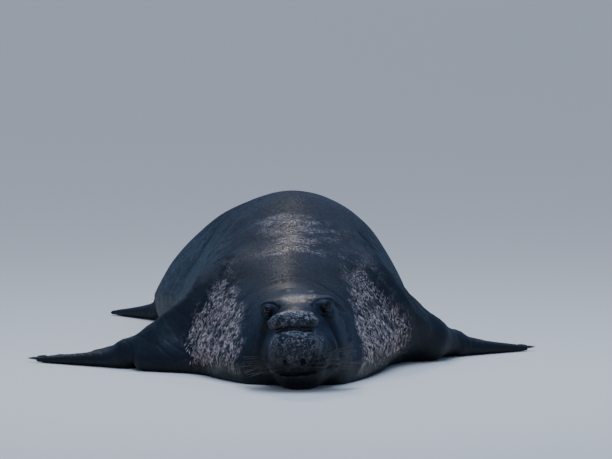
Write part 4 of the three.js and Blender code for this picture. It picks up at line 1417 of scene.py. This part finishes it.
class SEAL_OT_whiskers(bpy.types.Operator):
    """Makes the whiskers of the muzzle and the few above each eye."""

    bl_idname = "seal.whiskers"
    bl_label = "Whiskers"

    def execute(self, context):
        sizes, colours = context.scene.seal_sizes, context.scene.seal_colours
        material = worn_horn("whisker_keratin", colours.whisker, colours.whisker_tip, 0.3, 400)
        tree = scatter_tree("whisker_on_pad", bent_shape(8, 5, 0.25))
        roots, outward, length = [], [], []
        for side in (-1, 1):
            for row in range(PAD_ROWS):
                for place in range(PAD_WHISKERS - row % 2):
                    h = np.array([side * (50 + 10 * place), -66 + 22 * place, 168 - 16 * row])
                    roots.append(in_head(h))
                    aim = np.array([side * 0.85, -0.3 + 0.13 * place, 0.06 - 0.08 * row])
                    outward.append(HEAD_TURN @ unit(aim))
                    length.append(0.32 + 0.08 * place)
            for n in range(BROW_WHISKERS):
                roots.append(in_head(np.array([side * (72 + 13 * n), 214 + 5 * n, 396.0])))
                outward.append(HEAD_TURN @ unit(np.array([side * (0.2 + 0.12 * n), -0.35, 0.9])))
                length.append(0.16)
        outward = np.array(outward)
        roots = np.array([surface_along(r, d) for r, d in zip(roots, outward)]) - outward * 6
        swept = HEAD_TURN @ np.array([0, 0.9, -0.15])
        up = unit(outward * (outward @ swept)[:, None] - swept)
        values = {"lie": outward, "up": up, "size": np.array(length)}
        settings = {"Length": sizes.whisker_length, "Width": 0.0008, "Thickness": 0.0008, "Bend": 0.3,
                    "Turn": 0.16, "Variation": 0.14, "Seed": 5, "Material": material}
        whiskers = scatter("whiskers", tree, roots, values, settings)
        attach(whiskers, "root")
        return {"FINISHED"}


class SEAL_OT_scars(bpy.types.Operator):
    """Makes the raised scars of the neck shield."""

    bl_idname = "seal.scars"
    bl_label = "Scars"

    def execute(self, context):
        zone = SKIN["zone"]
        chance = ramp(zone["shield"], 0.5, 1.0) * (1 - ramp(zone["underside_shade"], 0.3, 0.7))
        spots_at, normal, found = spread_over_skin(chance, context.scene.seal_sizes.scars, 21)
        back = lie_of_coat(spots_at, normal, found["limb"])
        girth = unit(np.cross(normal, back))
        rng = np.random.default_rng(22)
        lie = unit(girth + back * rng.normal(0, 0.35, (len(back), 1)))
        values = {"lie": lie, "up": normal, "size": rng.uniform(0.35, 1.15, len(back))}
        settings = {"Length": 0.026, "Width": 0.0042, "Thickness": 0.0046, "Bend": 0.0, "Turn": 0.2,
                    "Variation": 0.3, "Seed": 8, "Material": healed_scar(context.scene.seal_colours)}
        scars = scatter("scars", scatter_tree("scar_on_neck", flake_shape), spots_at, values, settings)
        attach(scars, "root")
        return {"FINISHED"}


# Each piece of coat: its slot, where it starts and ends behind the chin, its share of tufts and their size.
COAT_PIECES = {
    "coat_head": ("face_hide", -400, 560, 1.0, 0.5),
    "coat_neck": ("scarred_hide", 560, 1180, 1.0, 0.85),
    "coat_barrel": ("hide", 1180, 1900, 0.9, 1.0),
    "coat_loin": ("hide", 1900, 2600, 0.8, 1.0),
    "coat_rump": ("hide", 2600, 3560, 0.7, 1.0),
    "coat_flippers": ("flipper_hide", -400, 5000, 0.8, 0.6),
}


BAKE_PATCH = 0.003  # breadth of a tuft's patch on the unwrapped skin, which is 1 across


def bake_places(points, normal, limb):
    """Where each place lies on the unwrapped skin: the body rolled out, and two sides of each flipper."""
    round_it = (body_angle(points) + 180) / 360
    body = np.stack([0.02 + 0.96 * (points[:, 1] + 160) / 4180, 0.44 + 0.54 * round_it], 1)
    if not (limb > 0.5).any():
        return body
    wrists = np.array([FLIPPERS[name][2] for name in FLIPPERS], float)
    nearest = np.argmin(np.linalg.norm(points[:, None] - wrists, axis=2), axis=1)
    ahead = np.array([heading_of(name) for name in FLIPPERS])[nearest]
    away = points - wrists[nearest]
    along = (away * ahead).sum(1)
    aside = away[:, 0] * -ahead[:, 1] + away[:, 1] * ahead[:, 0]
    u = (nearest + 0.05 + 0.9 * np.clip((along + 520) / 1160, 0, 1)) / 4
    v = 0.01 + 0.19 * np.clip((aside + 420) / 840, 0, 1) + np.where(normal[:, 2] > 0, 0.205, 0)
    return np.where((limb > 0.5)[:, None], np.stack([u, v], 1), body)


class SEAL_OT_coat(bpy.types.Operator):
    """Makes the short coat, flat tufts of wet hair that lie back along the body."""

    bl_idname = "seal.coat"
    bl_label = "Coat"

    def execute(self, context):
        sizes, zone, points = context.scene.seal_sizes, SKIN["zone"], SKIN["points"]
        material = wet_coat(context.scene.seal_colours)
        tree = scatter_tree("tuft_on_skin", cone_shape)
        bare = 1 - ramp(zone["rim"], 0.1, 0.5)
        bare *= 1 - ramp(zone["crease"], 0.7, 1.0)
        bare *= ramp(points[:, 2], 1, 10)
        bare *= 1 - 0.55 * zone["nose"]
        for seed, (name, (slot, start, end, share, size)) in enumerate(COAT_PIECES.items()):
            along = (points[:, 1] >= start) & (points[:, 1] < end)
            flippers = zone["limb"] > 0.5
            chance = bare * along * (flippers if name == "coat_flippers" else ~flippers)
            chance = chance / (0.6 + 0.4 * ramp(to_head(points)[:, 1], -60, 260))
            count = int(sizes.tufts * share)
            roots, normal, found = spread_over_skin(chance, count, 40 + seed)
            lie = lie_of_coat(roots, normal, found["limb"])
            small = size * (1 - 0.4 * found["nose"])
            values = {key: found[key] for key in ("shield", "pale", "underside_shade", "nose", "limb", "crease")}
            values.update(lie=unit(lie + normal * 0.07), up=normal, size=small)
            unwrapped = bake_places(roots, normal, found["limb"])
            settings = {"Length": sizes.tuft_length, "Width": sizes.tuft_width / 2, "Thickness": 0.0008,
                        "Bend": 0.0, "Turn": 0.24, "Variation": 0.3, "Seed": 60 + seed, "Material": material}
            coat = scatter(name, tree, roots - normal * 0.3, values, settings)
            self.unwrap(coat.data, unwrapped)
            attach(coat, "root")
        return {"FINISHED"}

    def unwrap(self, mesh, roots):
        """Gives each tuft a patch of its own at its root's place on the unwrapped skin."""
        each = len(mesh.vertices) // len(roots)
        angle = np.arange(each) * 2 * np.pi / each
        patch = BAKE_PATCH / 2 * np.stack([np.cos(angle), np.sin(angle)], 1)
        place = (roots[:, None] + patch[None]).reshape(-1, 2)
        layer = mesh.uv_layers.new(name="OFBake")
        corner = np.empty(len(mesh.loops), np.int32)
        mesh.loops.foreach_get("vertex_index", corner)
        layer.data.foreach_set("uv", np.ascontiguousarray(place[corner], np.float32).ravel())


# The camera stands 25 m in front of the chin with a long lens, 2.79 m above the ground.
CAMERA_AT = (0, -25000, 2786)
CAMERA_DIP = 4.6
CAMERA_LENS = 308.8
SKY = ("#8fb6ee", 0.68)  # colour and strength
# Each light: its kind, place, aim, strength, colour, and its breadth in metres, or in degrees for a sun.
LIGHTS = {
    "window_behind": ("SUN", (-1.0, 8.8, 8.2), (0, 0, 0), 0.6, "#fff2e0", 10),
    "softbox_above": ("AREA", (0.3, -1.6, 6.5), (0, -0.4, 0.3), 420, "#b6cffb", 4.5),
    "fill_front": ("AREA", (-3.0, -11.0, 6.0), (0, -1.0, 0.3), 110, "#e8efff", 7),
}


class SEAL_OT_stage(bpy.types.Operator):
    """Makes the plain floor, the soft lights and the camera."""

    bl_idname = "seal.stage"
    bl_label = "Stage"

    def execute(self, context):
        scene = context.scene
        half = scene.seal_sizes.floor_size / 2
        mesh = bpy.data.meshes.new("floor")
        corners = [(-half, -half, 0), (half, -half, 0), (half, half, 0), (-half, half, 0)]
        mesh.from_pydata(corners, [], [[0, 1, 2, 3]])
        material, tree, shader = new_material("plain_floor")
        feed(tree, shader, {"Base Color": rgba(scene.seal_colours.floor), "Roughness": 0.7})
        mesh.materials.append(material)
        new_object("floor", mesh)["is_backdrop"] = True
        for name, (kind, place, aim, strength, colour, breadth) in LIGHTS.items():
            light = bpy.data.lights.new(name, kind)
            light.energy, light.color = strength, linear(colour)
            if kind == "SUN":
                light.angle = math.radians(breadth)
            else:
                light.size = breadth
            lamp = bpy.data.objects.new(name, light)
            lamp.location = place
            lamp.rotation_euler = (Vector(aim) - Vector(place)).to_track_quat("-Z", "Y").to_euler()
            lamp.visible_camera = False
            scene.collection.objects.link(lamp)
        world = bpy.data.worlds.new("soft_sky")
        world.use_nodes = True
        background = world.node_tree.nodes["Background"]
        feed(world.node_tree, background, {"Color": rgba(linear(SKY[0])), "Strength": SKY[1]})
        scene.world = world
        lens = bpy.data.cameras.new("camera")
        lens.lens = CAMERA_LENS
        lens.clip_end = 1000
        camera = bpy.data.objects.new("camera", lens)
        camera.location = to_model(np.array(CAMERA_AT, float))
        camera.rotation_euler = (math.radians(90 - CAMERA_DIP), 0, 0)
        scene.collection.objects.link(camera)
        scene.camera = camera
        return {"FINISHED"}


OPERATORS = (SEAL_OT_stage, SEAL_OT_skin, SEAL_OT_eyes, SEAL_OT_claws, SEAL_OT_whiskers, SEAL_OT_scars,
             SEAL_OT_coat)


class SEAL_PT_panel(bpy.types.Panel):
    """Lists the seal's pieces, sizes and colours in the sidebar."""

    bl_label = "Elephant seal"
    bl_idname = "SEAL_PT_panel"
    bl_space_type = "VIEW_3D"
    bl_region_type = "UI"
    bl_category = "Seal"

    def draw(self, context):
        for operator in OPERATORS:
            self.layout.operator(operator.bl_idname)
        for group in (context.scene.seal_sizes, context.scene.seal_colours):
            for name in group.bl_rna.properties.keys():
                if name not in ("rna_type", "name"):
                    self.layout.prop(group, name)


CLASSES = (SealSizes, SealColours, *OPERATORS, SEAL_PT_panel)


def register():
    """Makes the classes and their settings known to Blender."""
    for made in CLASSES:
        bpy.utils.register_class(made)
    bpy.types.Scene.seal_sizes = PointerProperty(type=SealSizes)
    bpy.types.Scene.seal_colours = PointerProperty(type=SealColours)


def unregister():
    """Takes the classes and their settings away again."""
    del bpy.types.Scene.seal_sizes
    del bpy.types.Scene.seal_colours
    for made in reversed(CLASSES):
        bpy.utils.unregister_class(made)


def main():
    """Makes every piece in order."""
    register()
    bpy.ops.seal.stage()
    bpy.ops.seal.skin()
    bpy.ops.seal.eyes()
    bpy.ops.seal.claws()
    bpy.ops.seal.whiskers()
    bpy.ops.seal.scars()
    bpy.ops.seal.coat()
    boxes = {"cad": CAD_BOX, "visual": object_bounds()}
    {key: [list(corner) for corner in box] for key, box in boxes.items()}


if __name__ == "__main__":
    main()
